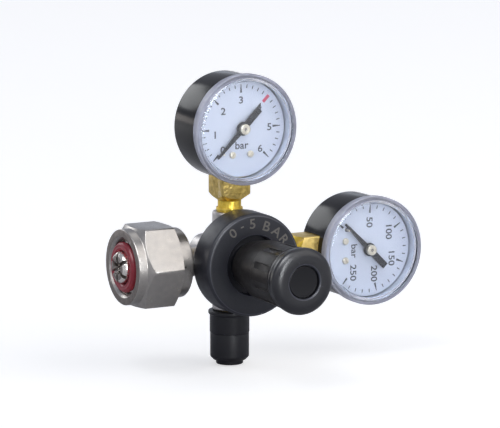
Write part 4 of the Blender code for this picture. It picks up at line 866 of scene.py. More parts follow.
    lens: Finish = ClearFinish(
        "clear_acrylic", "clear_lens", ((0.95, 0.97, 1.0), (0.92, 0.95, 0.99)), (0.01, 0.03), 0.0,
        150.0, 500.0, 0.0004, specular=0.3,
    )
    rim: Finish = ClearFinish(
        "frosted_rim", "clear_lens", ((0.62, 0.63, 0.72), (0.50, 0.51, 0.60)), (0.16, 0.26), 0.0,
        400.0, 900.0, 0.002, specular=0.4, clear=0.45, ior=1.3,
    )


FINISHES = Finishes()


def dress(
    item: bpy.types.Object, finish: Finish, body: str, nodes: Sequence[str] = (), angle: float = 35.0
) -> None:
    """Shades a new piece, gives it its finish and puts it on its body.

    Args:
        item: The piece, in its place.
        finish: What it is made of.
        body: The CAD body that carries it.
        nodes: The CAD nodes that it stands for.
        angle: The angle above which an edge stays sharp, in degrees.
    """
    activate(item)
    bpy.ops.object.shade_smooth_by_angle(angle=math.radians(angle))
    item.data.materials.clear()
    item.data.materials.append(finish.material())
    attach(item, body)
    if nodes:
        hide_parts(*nodes)
    LOG.info("%s on %s, %d faces", item.name, body, len(item.data.polygons))


def dress_faces(
    item: bpy.types.Object, finish: Finish, test: Callable[[Vector, Vector], bool]
) -> None:
    """Gives some faces of a dressed piece a second finish.

    Args:
        item: The piece, in its place.
        finish: The second finish.
        test: Says whether the face with a middle, in metres, and a normal gets it.
    """
    item.data.materials.append(finish.material())
    for face in item.data.polygons:
        if test(face.center, face.normal):
            face.material_index = 1


# Sub-assemblies


@dataclass
class CastBody:
    """The nickel-plated body: a cored cylinder with a flange and four bosses.

    Each boss has its end's place, its socket's depth and the place where its passage ends.
    """

    core_r: float = 10.3
    core_back: float = 10.0
    flange_r: float = 17.0
    flange_back: float = 8.0
    flange_front: float = 11.0
    chamber_r: float = 12.0
    chamber_floor: float = 9.6
    boss_r: float = 6.6
    socket_r: float = 5.0
    passage_r: float = 1.2
    plug_bore_r: float = 5.3
    plug_bore_floor: float = 3.9
    valve_bore_r: float = 4.2
    valve_bore_floor: float = -6.0
    push_rod_r: float = 1.3
    voxel: float = 0.32
    smoothing: int = 7
    ends: dict[Aim, tuple[float, float, float]] = field(default_factory=lambda: {
        Aim.UP: (18.0, 8.3, 7.1),
        Aim.DOWN: (20.0, 8.3, 7.1),
        Aim.RIGHT: (22.4, 8.3, 2.1),
        Aim.LEFT: (13.0, 6.2, 2.1),
    })

    def outer_form(self) -> bpy.types.Object:
        """The casting's outside, its bosses melted into its core.

        Returns:
            The solid casting about its own crossing.
        """
        core = rounded(
            [
                (0.0, -self.core_back, 0.0),
                (self.core_r, -self.core_back, 0.8),
                (self.core_r, self.flange_back, 1.0),
                (self.flange_r, self.flange_back, 0.3),
                (self.flange_r, self.flange_front, 0.0),
                (0.0, self.flange_front, 0.0),
            ],
            closed=False,
        )
        body = place(lathe("regulator_casting", core, 72), Aim.FRONT.value)
        for aim, (end, _, _) in self.ends.items():
            side = [(0.0, 0.0, 0.0), (self.boss_r, 0.0, 0.0), (self.boss_r, end, 0.5), (0.0, end, 0.0)]
            boss = lathe("boss", rounded(side, closed=False), 64)
            carve(body, place(boss, aim.value), Cut.TOGETHER)
        activate(body)
        melt = body.modifiers.new("melt", "REMESH")
        melt.mode = "VOXEL"
        melt.voxel_size = self.voxel * MM
        bpy.ops.object.modifier_apply(modifier=melt.name)
        smooth = body.modifiers.new("smooth", "SMOOTH")
        smooth.factor = 0.5
        smooth.iterations = self.smoothing
        bpy.ops.object.modifier_apply(modifier=smooth.name)
        return body

    def build(self) -> None:
        """Makes the body with its sockets and bores."""
        body = self.outer_form()
        tools = []
        for aim, (end, depth, passage_end) in self.ends.items():
            floor = end - depth
            socket = [(0.0, end + PAST), (self.socket_r, end + PAST), (self.socket_r, floor)]
            socket += [(self.passage_r, floor), (self.passage_r, passage_end), (0.0, passage_end)]
            tools.append(place(lathe("socket", socket, 40), aim.value))
        back = self.core_back + PAST
        bore = [
            (0.0, back),
            (self.plug_bore_r, back),
            (self.plug_bore_r, self.plug_bore_floor),
            (self.valve_bore_r, self.plug_bore_floor),
            (self.valve_bore_r, self.valve_bore_floor),
            (self.push_rod_r, self.valve_bore_floor),
            (self.push_rod_r, -self.flange_front),
            (0.0, -self.flange_front),
        ]
        tools.append(place(lathe("bore", bore, 40), Aim.BACK.value))
        front = self.flange_front + PAST
        chamber = drum(self.chamber_r, self.chamber_floor, front)
        tools.append(place(lathe("chamber", chamber, 64), Aim.FRONT.value))
        for tool in tools:
            carve(body, tool, Cut.AWAY)
        place(body, Matrix.Translation(CROSSING))
        dress(body, FINISHES.nickel, "housing", ["regulator_body"], 50.0)


@dataclass
class InletSet:
    """The nut that draws the regulator onto a cylinder, and the stem, nose and seal inside it."""

    stem_r: float = 5.9
    stem_start: float = 13.3
    stem_end: float = 42.65
    stem_flange_r: float = 9.9
    stem_flange_back: float = 38.0
    bore_r: float = 1.5
    thread_r: float = 4.7
    thread_tip: float = 7.1
    nose_back: float = 42.95
    nose_end: float = 47.8
    nose_r: float = 5.95
    nose_thread_r: float = 4.0
    nose_hole_r: float = 1.4
    nose_slots: int = 6
    slot_width: float = 1.5
    slot_depth: float = 1.6
    slot_reach: float = 7.0
    dish_r: float = 2.6
    dish_depth: float = 1.2
    pocket_r: float = 4.3
    pocket_floor: float = 33.95
    across_flats: float = 30.0
    blank_r: float = 17.7
    chamfer_r: float = 15.2
    hex_start: float = 27.2
    back_chamfer: float = 1.1
    front_chamfer: float = 2.35
    hex_end: float = 42.0
    back_collar_r: float = 13.3
    front_collar_r: float = 14.4
    nut_back: float = 22.1
    nut_shoulder: float = 31.0
    nut_mouth: float = 45.5
    nut_bore_r: float = 10.6
    nut_mouth_r: float = 11.6
    shoulder_r: float = 7.2
    corner_fillet: float = 1.1
    thread_pitch: float = 1.814
    thread_turns: int = 5
    thread_inner_r: float = 10.2
    seal_r: float = 7.9
    seal_section_r: float = 1.65
    seal_steps: int = 36

    def build(self) -> None:
        """Makes the inlet's pieces."""
        self.make_nut()
        self.make_thread()
        self.make_stem()
        self.make_nose()
        self.make_seal()

    def make_nut(self) -> None:
        """The hex nut with a turned collar at each end."""
        outline = rounded([
            (self.shoulder_r, self.nut_back, 0.3),
            (self.back_collar_r, self.nut_back, 0.5),
            (self.back_collar_r, self.hex_start, 0.35),
            (self.chamfer_r, self.hex_start, 0.0),
            (self.blank_r, self.hex_start + self.back_chamfer, 0.0),
            (self.blank_r, self.hex_end - self.front_chamfer, 0.0),
            (self.front_collar_r, self.hex_end, 0.25),
            (self.front_collar_r, self.nut_mouth, 0.45),
            (self.nut_mouth_r, self.nut_mouth, 0.15),
            (self.nut_bore_r, self.nut_mouth - 1.0, 0.0),
            (self.nut_bore_r, self.nut_shoulder, 0.0),
            (self.shoulder_r, self.nut_shoulder, 0.3),
        ])
        nut = lathe("inlet_hex_nut", outline, 120)
        corners = [(x, y, self.corner_fillet) for x, y, _ in regular(self.across_flats, 6, 90.0)]
        bar = prism("bar", rounded(corners), self.nut_back - PAST, self.nut_mouth + PAST)
        carve(nut, bar, Cut.COMMON)
        soften(nut, 0.12, 2, 22.0)
        dress(place(nut, Aim.LEFT.at_crossing()), FINISHES.nut, "nut", ["inlet_nut"], 32.0)
        mouth_x = CROSSING.x - (self.nut_mouth - 0.2) * MM

        def in_mouth(spot: Vector, normal: Vector) -> bool:
            """Whether a face is the flat ring round the nut's mouth."""
            return spot.x < mouth_x and normal.x < -0.9

        # The flat ring round the mouth gets painted shade, the darker nickel
        dress_faces(nut, FINISHES.mouth, in_mouth)

    def make_thread(self) -> None:
        """The screw thread in the nut's mouth, one ridge wound on itself."""
        turns = self.thread_turns
        start = self.nut_mouth - 1.2 - self.thread_pitch * turns
        half = self.thread_pitch * 0.36
        root = self.nut_bore_r + 0.1
        ridge = [(root, 0.0, start - half), (self.thread_inner_r, 0.0, start), (root, 0.0, start + half)]
        item = trace("nut_thread_ridge", ridge, True)
        activate(item)
        screw = item.modifiers.new("wind", "SCREW")
        screw.angle = math.tau * turns
        screw.screw_offset = self.thread_pitch * turns * MM
        screw.steps = 60 * turns
        screw.render_steps = 60 * turns
        screw.use_merge_vertices = False
        bpy.ops.object.modifier_apply(modifier=screw.name)
        open_for_edit(item)
        bpy.ops.mesh.fill_holes(sides=0)
        clean(item)
        # The thread gets a painted highlight, the lighter nickel
        dress(place(item, Aim.LEFT.at_crossing()), FINISHES.painted_highlight_nickel, "nut")

    def make_stem(self) -> None:
        """The stem between the nut and the body."""
        outline = rounded([
            (self.bore_r, self.thread_tip, 0.0),
            (self.thread_r, self.thread_tip, 0.4),
            (self.thread_r, self.stem_start, 0.0),
            (self.stem_r, self.stem_start, 0.4),
            (self.stem_r, self.stem_flange_back, 0.3),
            (self.stem_flange_r, self.stem_flange_back, 0.3),
            (self.stem_flange_r, self.stem_end, 0.3),
            (self.pocket_r, self.stem_end, 0.2),
            (self.pocket_r, self.pocket_floor, 0.0),
            (self.bore_r, self.pocket_floor, 0.0),
        ])
        stem = lathe("inlet_turned_stem", outline, 80)
        dress(place(stem, Aim.LEFT.at_crossing()), FINISHES.nickel, "housing", ["inlet_stem"])

    def make_nose(self) -> None:
        """The slotted insert that holds the filter."""
        outline = rounded([
            (self.nose_hole_r, self.nose_back - 4.0, 0.0),
            (self.nose_thread_r, self.nose_back - 4.0, 0.3),
            (self.nose_thread_r, self.nose_back, 0.0),
            (self.nose_r, self.nose_back, 0.2),
            (self.nose_r, self.nose_end, 2.0),
            (self.dish_r, self.nose_end, 0.5),
            (self.nose_hole_r + 0.5, self.nose_end - self.dish_depth, 0.2),
        ], steps=6)
        nose = lathe("inlet_slotted_nose", outline, 96)
        floor = self.nose_end - self.slot_depth
        for i in range(self.nose_slots // 2):
            sides = rounded(box_corners(self.slot_reach, self.slot_width / 2, 0.0))
            slot = prism("slot", sides, floor, self.nose_end + PAST)
            angle = 360.0 / self.nose_slots * (i + 0.5) + 90.0
            carve(nose, place(slot, Matrix.Rotation(math.radians(angle), 4, "Z")), Cut.AWAY)
        soften(nose, 0.12, 2, 35.0)
        # The nose gets a painted highlight on its flank
        dress(place(nose, Aim.LEFT.at_crossing()), FINISHES.painted_highlight_nickel, "housing", ["inlet_nose"])

        def in_shade(spot: Vector, normal: Vector) -> bool:
            """Whether a face is off the nose's flank, and so gets painted shade instead of the painted
            highlight.
            """
            radius = math.hypot(spot.y, spot.z)
            outwards = (normal.y * spot.y + normal.z * spot.z) / max(radius, MM)
            return outwards < 0.3 or radius < 3.9 * MM

        # Faces off the flank get painted shade instead
        dress_faces(nose, FINISHES.nose_painted_shade, in_shade)

    def make_seal(self) -> None:
        """The red ring, with a fine groove in its face."""
        middle = self.stem_end + 0.3 + self.seal_section_r
        section = []
        for i in range(self.seal_steps):
            angle = 360.0 * i / self.seal_steps
            dent = 0.28 * math.exp(-((angle - 90.0) / 13.0) ** 2)
            x, y = polar(self.seal_section_r - dent, angle)
            section.append((self.seal_r + x, middle + y))
        seal = lathe("inlet_red_ring", section, 96)
        dress(place(seal, Aim.LEFT.at_crossing()), FINISHES.seal, "housing", ["inlet_seal"], 60.0)


@dataclass
class BonnetSet:
    """The black bonnet with its printed range, and the plug behind the body.

    Each printed mark has its angle, clockwise from the top, and its radius.
    """

    radius: float = 19.7
    front: float = 20.1
    skirt_r: float = 17.4
    skirt_end: float = 8.0
    recess_r: float = 11.4
    recess_floor: float = 16.1
    neck_r: float = 8.0
    neck_bore_r: float = 6.6
    neck_end: float = 36.6
    cavity_r: float = 12.0
    cavity_end: float = 14.6
    seat: float = 13.3
    marks: tuple[tuple[str, float, float], ...] = (
        ("0", -35.0, 15.9),
        ("-", -19.0, 15.9),
        ("5", -3.0, 16.0),
        ("B", 20.0, 15.45),
        ("A", 38.0, 15.45),
        ("R", 55.5, 15.45),
    )
    text_height: float = 3.7
    dash_share: float = 0.14
    print_thickness: float = 0.04
    plug_r: float = 6.0
    plug_end: float = 22.5
    plug_shoulder: float = 11.2
    plug_thread_r: float = 5.0
    plug_tip: float = 4.2
    spring_pocket_r: float = 3.3
    spring_pocket_floor: float = 8.0
    key_width: float = 5.0
    key_depth: float = 4.0

    def build(self) -> None:
        """Makes the bonnet, its print and the valve plug."""
        outline = rounded([
            (self.skirt_r, self.skirt_end, 0.0),
            (self.radius, self.skirt_end, 0.4),
            (self.radius, self.front, 1.5),
            (self.recess_r, self.front, 0.5),
            (self.recess_r, self.recess_floor, 0.4),
            (self.neck_r, self.recess_floor, 0.3),
            (self.neck_r, self.neck_end, 0.3),
            (self.neck_bore_r, self.neck_end, 0.2),
            (self.neck_bore_r, self.cavity_end, 0.0),
            (self.cavity_r, self.cavity_end, 0.0),
            (self.cavity_r, self.seat, 0.0),
            (self.skirt_r, self.seat, 0.0),
        ], steps=6)
        bonnet = lathe("bonnet_moulding", outline, 128)
        dress(place(bonnet, Aim.FRONT.at_crossing()), FINISHES.moulding, "housing", ["bonnet"], 40.0)

        def on_edge(spot: Vector, normal: Vector) -> bool:
            """Whether a face is on the bonnet's outer edge or the lip of its recess."""
            away = spot - CROSSING
            radius = math.hypot(away.x, away.z) / MM
            outer = self.radius - 1.3 < radius < self.radius - 0.65
            lip = self.recess_r - 0.1 < radius < self.recess_r + 0.55
            return away.y < (0.8 - self.front) * MM and (lip or (outer and normal.y > -0.999))

        # The bonnet's outer edge and the lip of its recess get a painted highlight
        dress_faces(bonnet, FINISHES.edge, on_edge)
        self.print_range()
        self.make_plug()

    def print_range(self) -> None:
        """Prints the pressure range in an arc over the knob, one letter at a time."""
        letters = []
        for mark, angle, radius in self.marks:
            height = self.text_height * (self.dash_share if mark == "-" else 1.0)
            letter = lettering(mark, height, self.print_thickness, 0.012, 1.12)
            turn = Matrix.Rotation(math.radians(-angle), 4, "Z")
            lift = Matrix.Translation((0.0, radius * MM, (self.front + self.print_thickness / 2 - 0.01) * MM))
            letters.append(place(letter, turn @ lift))
        printed = join(letters, "bonnet_range_print")
        dress(place(printed, Aim.FRONT.at_crossing()), FINISHES.print, "housing")

    def make_plug(self) -> None:
        """The hex-socket plug that closes the back of the valve's bore."""
        outline = rounded([
            (0.0, self.spring_pocket_floor, 0.0),
            (self.spring_pocket_r, self.spring_pocket_floor, 0.0),
            (self.spring_pocket_r, self.plug_tip, 0.0),
            (self.plug_thread_r, self.plug_tip, 0.3),
            (self.plug_thread_r, self.plug_shoulder, 0.0),
            (self.plug_r, self.plug_shoulder, 0.3),
            (self.plug_r, self.plug_end, 0.7),
            (0.0, self.plug_end, 0.0),
        ], closed=False)
        plug = lathe("valve_socket_plug", outline, 80)
        hexagon = rounded(regular(self.key_width, 6, 0.0))
        socket = prism("socket", hexagon, self.plug_end - self.key_depth, self.plug_end + PAST)
        carve(plug, socket, Cut.AWAY)
        soften(plug, 0.12, 2, 40.0)
        dress(place(plug, Aim.BACK.at_crossing()), FINISHES.nickel, "housing", ["valve_plug"])


@dataclass
class KnobSet:
    """The adjusting knob: a fluted grip on a smooth skirt, and its domed cap."""

    back: float = 19.6
    back_r: float = 9.2
    skirt_end: float = 30.0
    skirt_r: float = 11.3
    ridge: float = 38.0
    ridge_r: float = 11.5
    front: float = 52.0
    front_r: float = 11.9
    cavity_r: float = 8.4
    cavity_end: float = 39.5
    post_r: float = 6.3
    post_end: float = 38.4
    pocket_r: float = 9.5
    pocket_floor: float = 42.0
    flutes: int = 10
    flute_depth: float = 0.6
    flute_width: float = 2.5
    flute_start: float = 39.2
    flute_ramp: float = 1.4
    flute_end: float = 51.2
    first_flute: float = 13.0
    cap_back: float = 52.3
    cap_front: float = 59.2
    cap_r: float = 12.6
    cap_face_r: float = 8.6
    cap_flare: float = 4.2
    cap_wall: float = 1.2
    spigot_r: float = 9.2
    spigot_bore_r: float = 8.0
    spigot_end: float = 47.3
    recess_depth: float = 1.8
    dome_steps: int = 12
    badge_r: float = 6.0

    def build(self) -> None:
        """Makes the grip, the cap and the badge."""
        self.make_grip()
        self.make_cap()
        self.make_badge()

    def make_grip(self) -> None:
        """The grip, with flat-floored flutes cut by bars."""
        outline = rounded([
            (0.0, self.post_end, 0.0),
            (self.post_r, self.post_end, 0.3),
            (self.post_r, self.cavity_end, 0.0),
            (self.cavity_r, self.cavity_end, 0.3),
            (self.cavity_r, self.back, 0.2),
            (self.back_r, self.back, 0.3),
            (self.skirt_r, self.skirt_end, 5.0),
            (self.skirt_r, self.ridge - 0.4, 0.25),
            (self.ridge_r, self.ridge, 0.25),
            (self.front_r, self.front, 0.5),
            (self.pocket_r, self.front, 0.2),
            (self.pocket_r, self.pocket_floor, 0.0),
            (0.0, self.pocket_floor, 0.0),
        ], closed=False, steps=5)
        grip = lathe("knob_fluted_grip", outline, 160)
        middle_r = (self.ridge_r + self.front_r) / 2
        floor_r = middle_r - self.flute_depth
        outer_r = middle_r + 1.5
        half = self.flute_width / 2
        floor_start = self.flute_start + self.flute_ramp
        section = rounded([
            (floor_r, -half, 0.15),
            (outer_r, -half - 0.25, 0.0),
            (outer_r, half + 0.25, 0.0),
            (floor_r, half, 0.15),
        ])
        bar = prism("bar", section, floor_start, self.flute_end)
        open_for_edit(bar)
        select_where(bar, lambda spot: spot.z < (floor_start + 0.1) * MM)
        ramp = (self.flute_depth * MM, 0.0, -self.flute_ramp * MM)
        bpy.ops.mesh.extrude_region_move(TRANSFORM_OT_translate={"value": ramp})
        clean(bar)
        place(bar, Matrix.Rotation(math.radians(self.first_flute), 4, "Z"))
        repeat_around(bar, self.flutes - 1, 360.0 * (self.flutes - 1) / self.flutes)
        clean(bar)
        carve(grip, bar, Cut.AWAY)
        soften(grip, 0.14, 2, 25.0)
        dress(place(grip, Aim.FRONT.at_crossing()), FINISHES.grip, "adjusting_knob", ["knob"], 30.0)

    def make_cap(self) -> None:
        """The domed cap, with a shallow round recess."""
        widest = self.cap_back + self.cap_flare
        dome = []
        for i in range(self.dome_steps + 1):
            angle = math.radians(90.0 * i / self.dome_steps)
            radius = self.cap_face_r + (self.cap_r - self.cap_face_r) * math.cos(angle)
            dome.append((radius, widest + (self.cap_front - widest) * math.sin(angle)))
        recess_r = self.badge_r + 0.3
        floor = self.cap_front - self.recess_depth
        inside = [
            (0.0, floor - self.cap_wall),
            (self.spigot_bore_r, floor - self.cap_wall),
            (self.spigot_bore_r, self.spigot_end),
            (self.spigot_r, self.spigot_end),
            (self.spigot_r, self.cap_back),
        ]
        root = [
            (self.front_r - 0.2, self.cap_back),
            (self.front_r, self.cap_back + 0.2),
            (self.front_r, self.cap_back + 1.7),
            (self.cap_r - 0.4, self.cap_back + 2.1),
            (self.cap_r - 0.12, self.cap_back + 3.0),
        ]
        recess = rounded([
            (self.cap_face_r - 1.0, self.cap_front, 0.0),
            (recess_r, self.cap_front, 0.6),
            (recess_r, floor, 0.1),
            (0.0, floor, 0.0),
        ], closed=False)
        cap = lathe("knob_domed_cap", [*inside, *root, *dome, *recess[1:]], 128)
        dress(place(cap, Aim.FRONT.at_crossing()), FINISHES.cap, "adjusting_knob", ["knob_cap"], 40.0)

        def on_lip(spot: Vector, normal: Vector) -> bool:
            """Whether a face is on the rounded lip of the badge's recess."""
            away = spot - CROSSING
            radius = math.hypot(away.x, away.z) / MM
            return recess_r - 0.1 < radius < recess_r + 0.5 and away.y < (0.5 - self.cap_front) * MM

        # The lip of the badge's recess gets a painted highlight
        dress_faces(cap, FINISHES.edge, on_lip)

    def make_badge(self) -> None:
        """The bare badge in the cap."""
        back = self.cap_front - self.recess_depth + 0.1
        outline = rounded([
            (0.0, back, 0.0),
            (self.badge_r, back, 0.0),
            (self.badge_r, back + 0.75, 0.35),
            (self.badge_r - 0.9, back + 0.6, 0.6),
            (0.0, back + 0.35, 0.0),
        ], closed=False)
        badge = lathe("knob_plain_badge", outline, 96)
        dress(place(badge, Aim.FRONT.at_crossing()), FINISHES.badge, "adjusting_knob", ["knob_badge"])


@dataclass
class OutletSet:
    """The push-in outlet under the body."""

    top: float = 20.3
    end: float = 39.5
    flange_r: float = 8.15
    radius: float = 7.6
    lower_r: float = 7.45
    seam: float = 28.8
    bore_r: float = 5.5
    tube_r: float = 4.3
    port_r: float = 2.0
    port_start: float = 27.3
    tube_stop: float = 27.8
    tube_end: float = 29.2
    adapter_r: float = 5.0
    adapter_flange_r: float = 6.5
    adapter_seat: float = 21.4
    collet_r: float = 5.2
    collet_end: float = 41.1
    collet_length: float = 7.6
    collet_slot: float = 3.4

    def build(self) -> None:
        """Makes the outlet's body and its collet."""
        outline = rounded([
            (self.adapter_flange_r, self.top, 0.0),
            (self.flange_r, self.top, 0.3),
            (self.flange_r, self.top + 1.2, 0.3),
            (self.radius, self.top + 1.7, 0.3),
            (self.radius, self.seam - 0.1, 0.12),
            (self.lower_r - 0.2, self.seam + 0.05, 0.05),
            (self.lower_r - 0.2, self.seam + 0.25, 0.05),
            (self.lower_r, self.seam + 0.35, 0.1),
            (self.lower_r, self.end - 1.3, 0.9),
            (self.lower_r - 1.3, self.end, 0.5),
            (self.bore_r, self.end, 0.25),
            (self.bore_r, self.tube_end, 0.0),
            (self.tube_r, self.tube_end, 0.0),
            (self.tube_r, self.tube_stop, 0.0),
            (self.port_r, self.tube_stop, 0.0),
            (self.port_r, self.port_start, 0.0),
            (self.adapter_r, self.port_start, 0.0),
            (self.adapter_r, self.adapter_seat, 0.0),
            (self.adapter_flange_r, self.adapter_seat, 0.0),
        ])
        body = lathe("outlet_moulding", outline, 96)
        dress(place(body, Aim.DOWN.at_crossing()), FINISHES.fitting, "housing", ["outlet_body"])
        self.make_collet()

    def make_collet(self) -> None:
        """The split collet that lets the tube go."""
        tip = self.collet_end - self.collet_length
        outline = rounded([
            (self.tube_r, tip, 0.1),
            (self.collet_r, tip, 0.2),
            (self.collet_r, self.collet_end, 0.4),
            (self.tube_r, self.collet_end, 0.3),
        ])
        collet = lathe("outlet_split_collet", outline, 80)
        for turn in (0.0, 90.0):
            sides = rounded(box_corners(self.collet_r + 1.8, 0.5, 0.0))
            slot = prism("slot", sides, tip - PAST, tip + self.collet_slot)
            carve(collet, place(slot, Matrix.Rotation(math.radians(turn), 4, "Z")), Cut.AWAY)
        dress(place(collet, Aim.DOWN.at_crossing()), FINISHES.fitting, "release_collet", ["collet"])


@dataclass
class Scale:
    """What is printed on a dial. Angles are clockwise from the dial's own top, in degrees."""

    marks: tuple[tuple[str, float, float], ...]
    majors: int
    minors_each: int
    wedge: tuple[float, float]
    start: float
    unit_at: Point
    unit_height: float
    red_at: float | None = None


@dataclass
class Gauge:
    """One pressure gauge, made with its stem down and then turned as a whole."""

    prefix: str
    middle: Vector
    turn: float
    scale: Scale
    hand: str
    stem_finish: Finish
    case_r: float = 20.2
    case_back: float = 7.8
    case_front: float = 12.0
    lens_r: float = 21.1
    lens_front: float = 15.2
    lens_back: float = 10.6
    serrations: int = 116
    dial_r: float = 18.6
    dial_front: float = 8.8
    screw_x: float = 3.8
    screw_drop: float = 10.0
    hole_r: float = 1.1
    pointer_back: float = 10.3
    stem_half: float = 6.0
    block_start: float = 13.0
    block_r: float = 8.8
    block_end: float = 25.5
    neck_start: float = 28.5
    neck_r: float = 4.5
    thread_r: float = 4.7
    thread_length: float = 8.0
    gas_r: float = 1.0
    gas_start: float = 15.6
    washer_r: float = 5.1
    washer_bore_r: float = 4.75
    washer_start: float = 31.3
    washer_end: float = 32.5
    stop_at: float = 12.4
    stop_r: float = 0.4
    stop_front: float = 11.2
    reach: float = 32.8
    print_thickness: float = 0.03
    number_height: float = 2.75
    sweep: float = 270.0
    hand_length: float = 15.2
    hand_boss_r: float = 2.6
    tail_length: float = 10.0
    hub_r: float = 2.0
    zero: float = 225.0

    def spot(self) -> Matrix:
        """The gauge's place: its dial's middle, turned about Y."""
        return Matrix.Translation(self.middle) @ Matrix.Rotation(self.turn, 4, "Y")

    def set_on(
        self,
        item: bpy.types.Object,
        aim: Aim,
        finish: Finish,
        nodes: Sequence[str],
        body: str = "housing",
        angle: float = 35.0,
    ) -> None:
        """Puts one of the gauge's pieces in its place and dresses it.

        Args:
            item: The piece, about the dial's middle.
            aim: The way that it points on the gauge.
            finish: What it is made of.
            nodes: The CAD nodes that it stands for, without the gauge's prefix.
            body: The CAD body that carries it.
            angle: The angle above which an edge stays sharp, in degrees.
        """
        place(item, self.spot() @ aim.value)
        dress(item, finish, body, [self.prefix + node for node in nodes], angle)

    def build(self) -> None:
        """Makes every piece of the gauge that shows."""
        self.make_case()
        self.make_lens()
        self.make_stem()
        self.make_dial()
        self.print_dial()
        self.make_pointer()
        for side, x in (("left", -self.screw_x), ("right", self.screw_x)):
            self.make_screw(side, x)

    def make_case(self) -> None:
        """The painted steel cup."""
        outline = rounded([
            (0.0, -self.case_back, 0.0),
            (self.case_r, -self.case_back, 1.9),
            (self.case_r, self.case_front, 0.3),
            (self.case_r - 0.8, self.case_front, 0.2),
            (self.case_r - 0.8, -self.case_back + 1.0, 1.2),
            (0.0, -self.case_back + 1.0, 0.0),
        ], closed=False, steps=8)
        case = lathe(self.prefix + "painted_case", outline, 128)
        half = self.stem_half + 0.3
        window = prism("window", rounded(box_corners(half, half, 0.0)), 13.0, 22.0)
        place(case, Aim.FRONT.value)
        carve(case, place(window, Aim.DOWN.value), Cut.AWAY)
        clean(case)
        self.set_on(case, Aim.UP, FINISHES.paint, ["case"], angle=40.0)
        reach = (self.case_r - 0.5) * MM

        def inside(spot: Vector, normal: Vector) -> bool:
            """Whether a face is on the inside of the cup's wall."""
            away = spot - self.middle
            return math.hypot(away.x, away.z) < reach and away.y < (self.case_back - 1.4) * MM

        # The inside of the cup's wall is a pale bluish grey
        dress_faces(case, FINISHES.pale_inner_wall, inside)

    def make_lens(self) -> None:
        """The clear snap-on lens, with fine ribs around its rim."""
        inner = self.lens_front - 1.3
        outline = rounded([
            (0.0, self.lens_front, 0.0),
            (19.0, self.lens_front, 0.5),
            (19.6, self.lens_front - 0.55, 0.3),
            (self.lens_r, self.lens_front - 0.6, 0.4),
            (self.lens_r, self.lens_back, 0.3),
            (self.case_r + 0.3, self.lens_back, 0.1),
            (self.case_r + 0.3, self.case_front + 0.3, 0.2),
            (19.0, self.case_front + 0.3, 0.2),
            (18.9, inner, 0.9),
            (0.0, inner, 0.0),
        ], closed=False, steps=6)
        lens = lathe(self.prefix + "ribbed_lens", outline, self.serrations * 2)
        open_for_edit(lens)
        step = math.tau / (self.serrations * 2)
        side = (self.lens_r - 0.02) * MM

        def in_groove(spot: Vector) -> bool:
            """Whether a point is on every second line of the rim."""
            column = round(math.atan2(spot.y, spot.x) / step)
            return column % 2 == 1 and math.hypot(spot.x, spot.y) > side

        select_where(lens, in_groove)
        shrink = 1.0 - 0.11 / self.lens_r
        bpy.ops.transform.resize(value=(shrink, shrink, 1.0), center_override=(0.0, 0.0, 0.0))
        bpy.ops.object.mode_set(mode="OBJECT")
        self.set_on(lens, Aim.FRONT, FINISHES.lens, ["lens"], angle=28.0)

        def on_rim(spot: Vector, normal: Vector) -> bool:
            """Whether a face is outside the lens's clear window."""
            away = spot - self.middle
            return math.hypot(away.x, away.z) > 20.2 * MM

        dress_faces(lens, FINISHES.rim, on_rim)

    def make_stem(self) -> None:
        """The square brass stem, turned down to a neck and a thread, and its washer."""
        outline = rounded([
            (0.0, self.block_start, 0.0),
            (self.block_r, self.block_start, 0.0),
            (self.block_r, self.block_end, 0.0),
            (self.neck_r, self.neck_start, 0.5),
            (self.neck_r, self.reach, 0.0),
            (self.thread_r, self.reach + 0.4, 0.0),
            (self.thread_r, self.reach + self.thread_length - 0.5, 0.0),
            (self.thread_r - 0.5, self.reach + self.thread_length, 0.0),
            (0.0, self.reach + self.thread_length, 0.0),
        ], closed=False)
        stem = lathe(self.prefix + "brass_stem", outline, 80)
        half = self.stem_half
        end = self.reach + self.thread_length + PAST
        bar = prism("bar", rounded(box_corners(half, half, 0.5)), self.block_start - PAST, end)
        carve(stem, bar, Cut.COMMON)
        corners = [(-half, 2.2, 0.0), (half, 2.2, 0.0), (half, half, 0.0), (-half, half, 0.0)]
        carve(stem, prism("tongue", rounded(corners), 8.4, 14.0), Cut.TOGETHER)
        carve(stem, lathe("bore", drum(self.gas_r, self.gas_start, end), 24), Cut.AWAY)
        place(stem, Aim.DOWN.value)
        for x in (-self.screw_x, self.screw_x):
            spot = Matrix.Translation((x * MM, 0.0, -self.screw_drop * MM)) @ Aim.FRONT.value
            carve(stem, place(lathe("hole", drum(self.hole_r, 2.8, 7.5), 24), spot), Cut.AWAY)
        soften(stem, 0.15, 2, 32.0)
        self.set_on(stem, Aim.UP, self.stem_finish, ["stem"], angle=32.0)
        neck = (self.stem_half * 2 + 16.0) * MM

        def on_neck(spot: Vector, normal: Vector) -> bool:
            """Whether a face is on the stem's round neck."""
            return (spot - self.middle).length > neck

        dress_faces(stem, FINISHES.neck_brass, on_neck)
        ring = rounded([
            (self.washer_bore_r, self.washer_start, 0.05),
            (self.washer_r, self.washer_start, 0.1),
            (self.washer_r, self.washer_end, 0.1),
            (self.washer_bore_r, self.washer_end, 0.05),
        ])
        washer = lathe(self.prefix + "brass_washer", ring, 64)
        self.set_on(washer, Aim.DOWN, FINISHES.neck_brass, ["gauge_washer"])

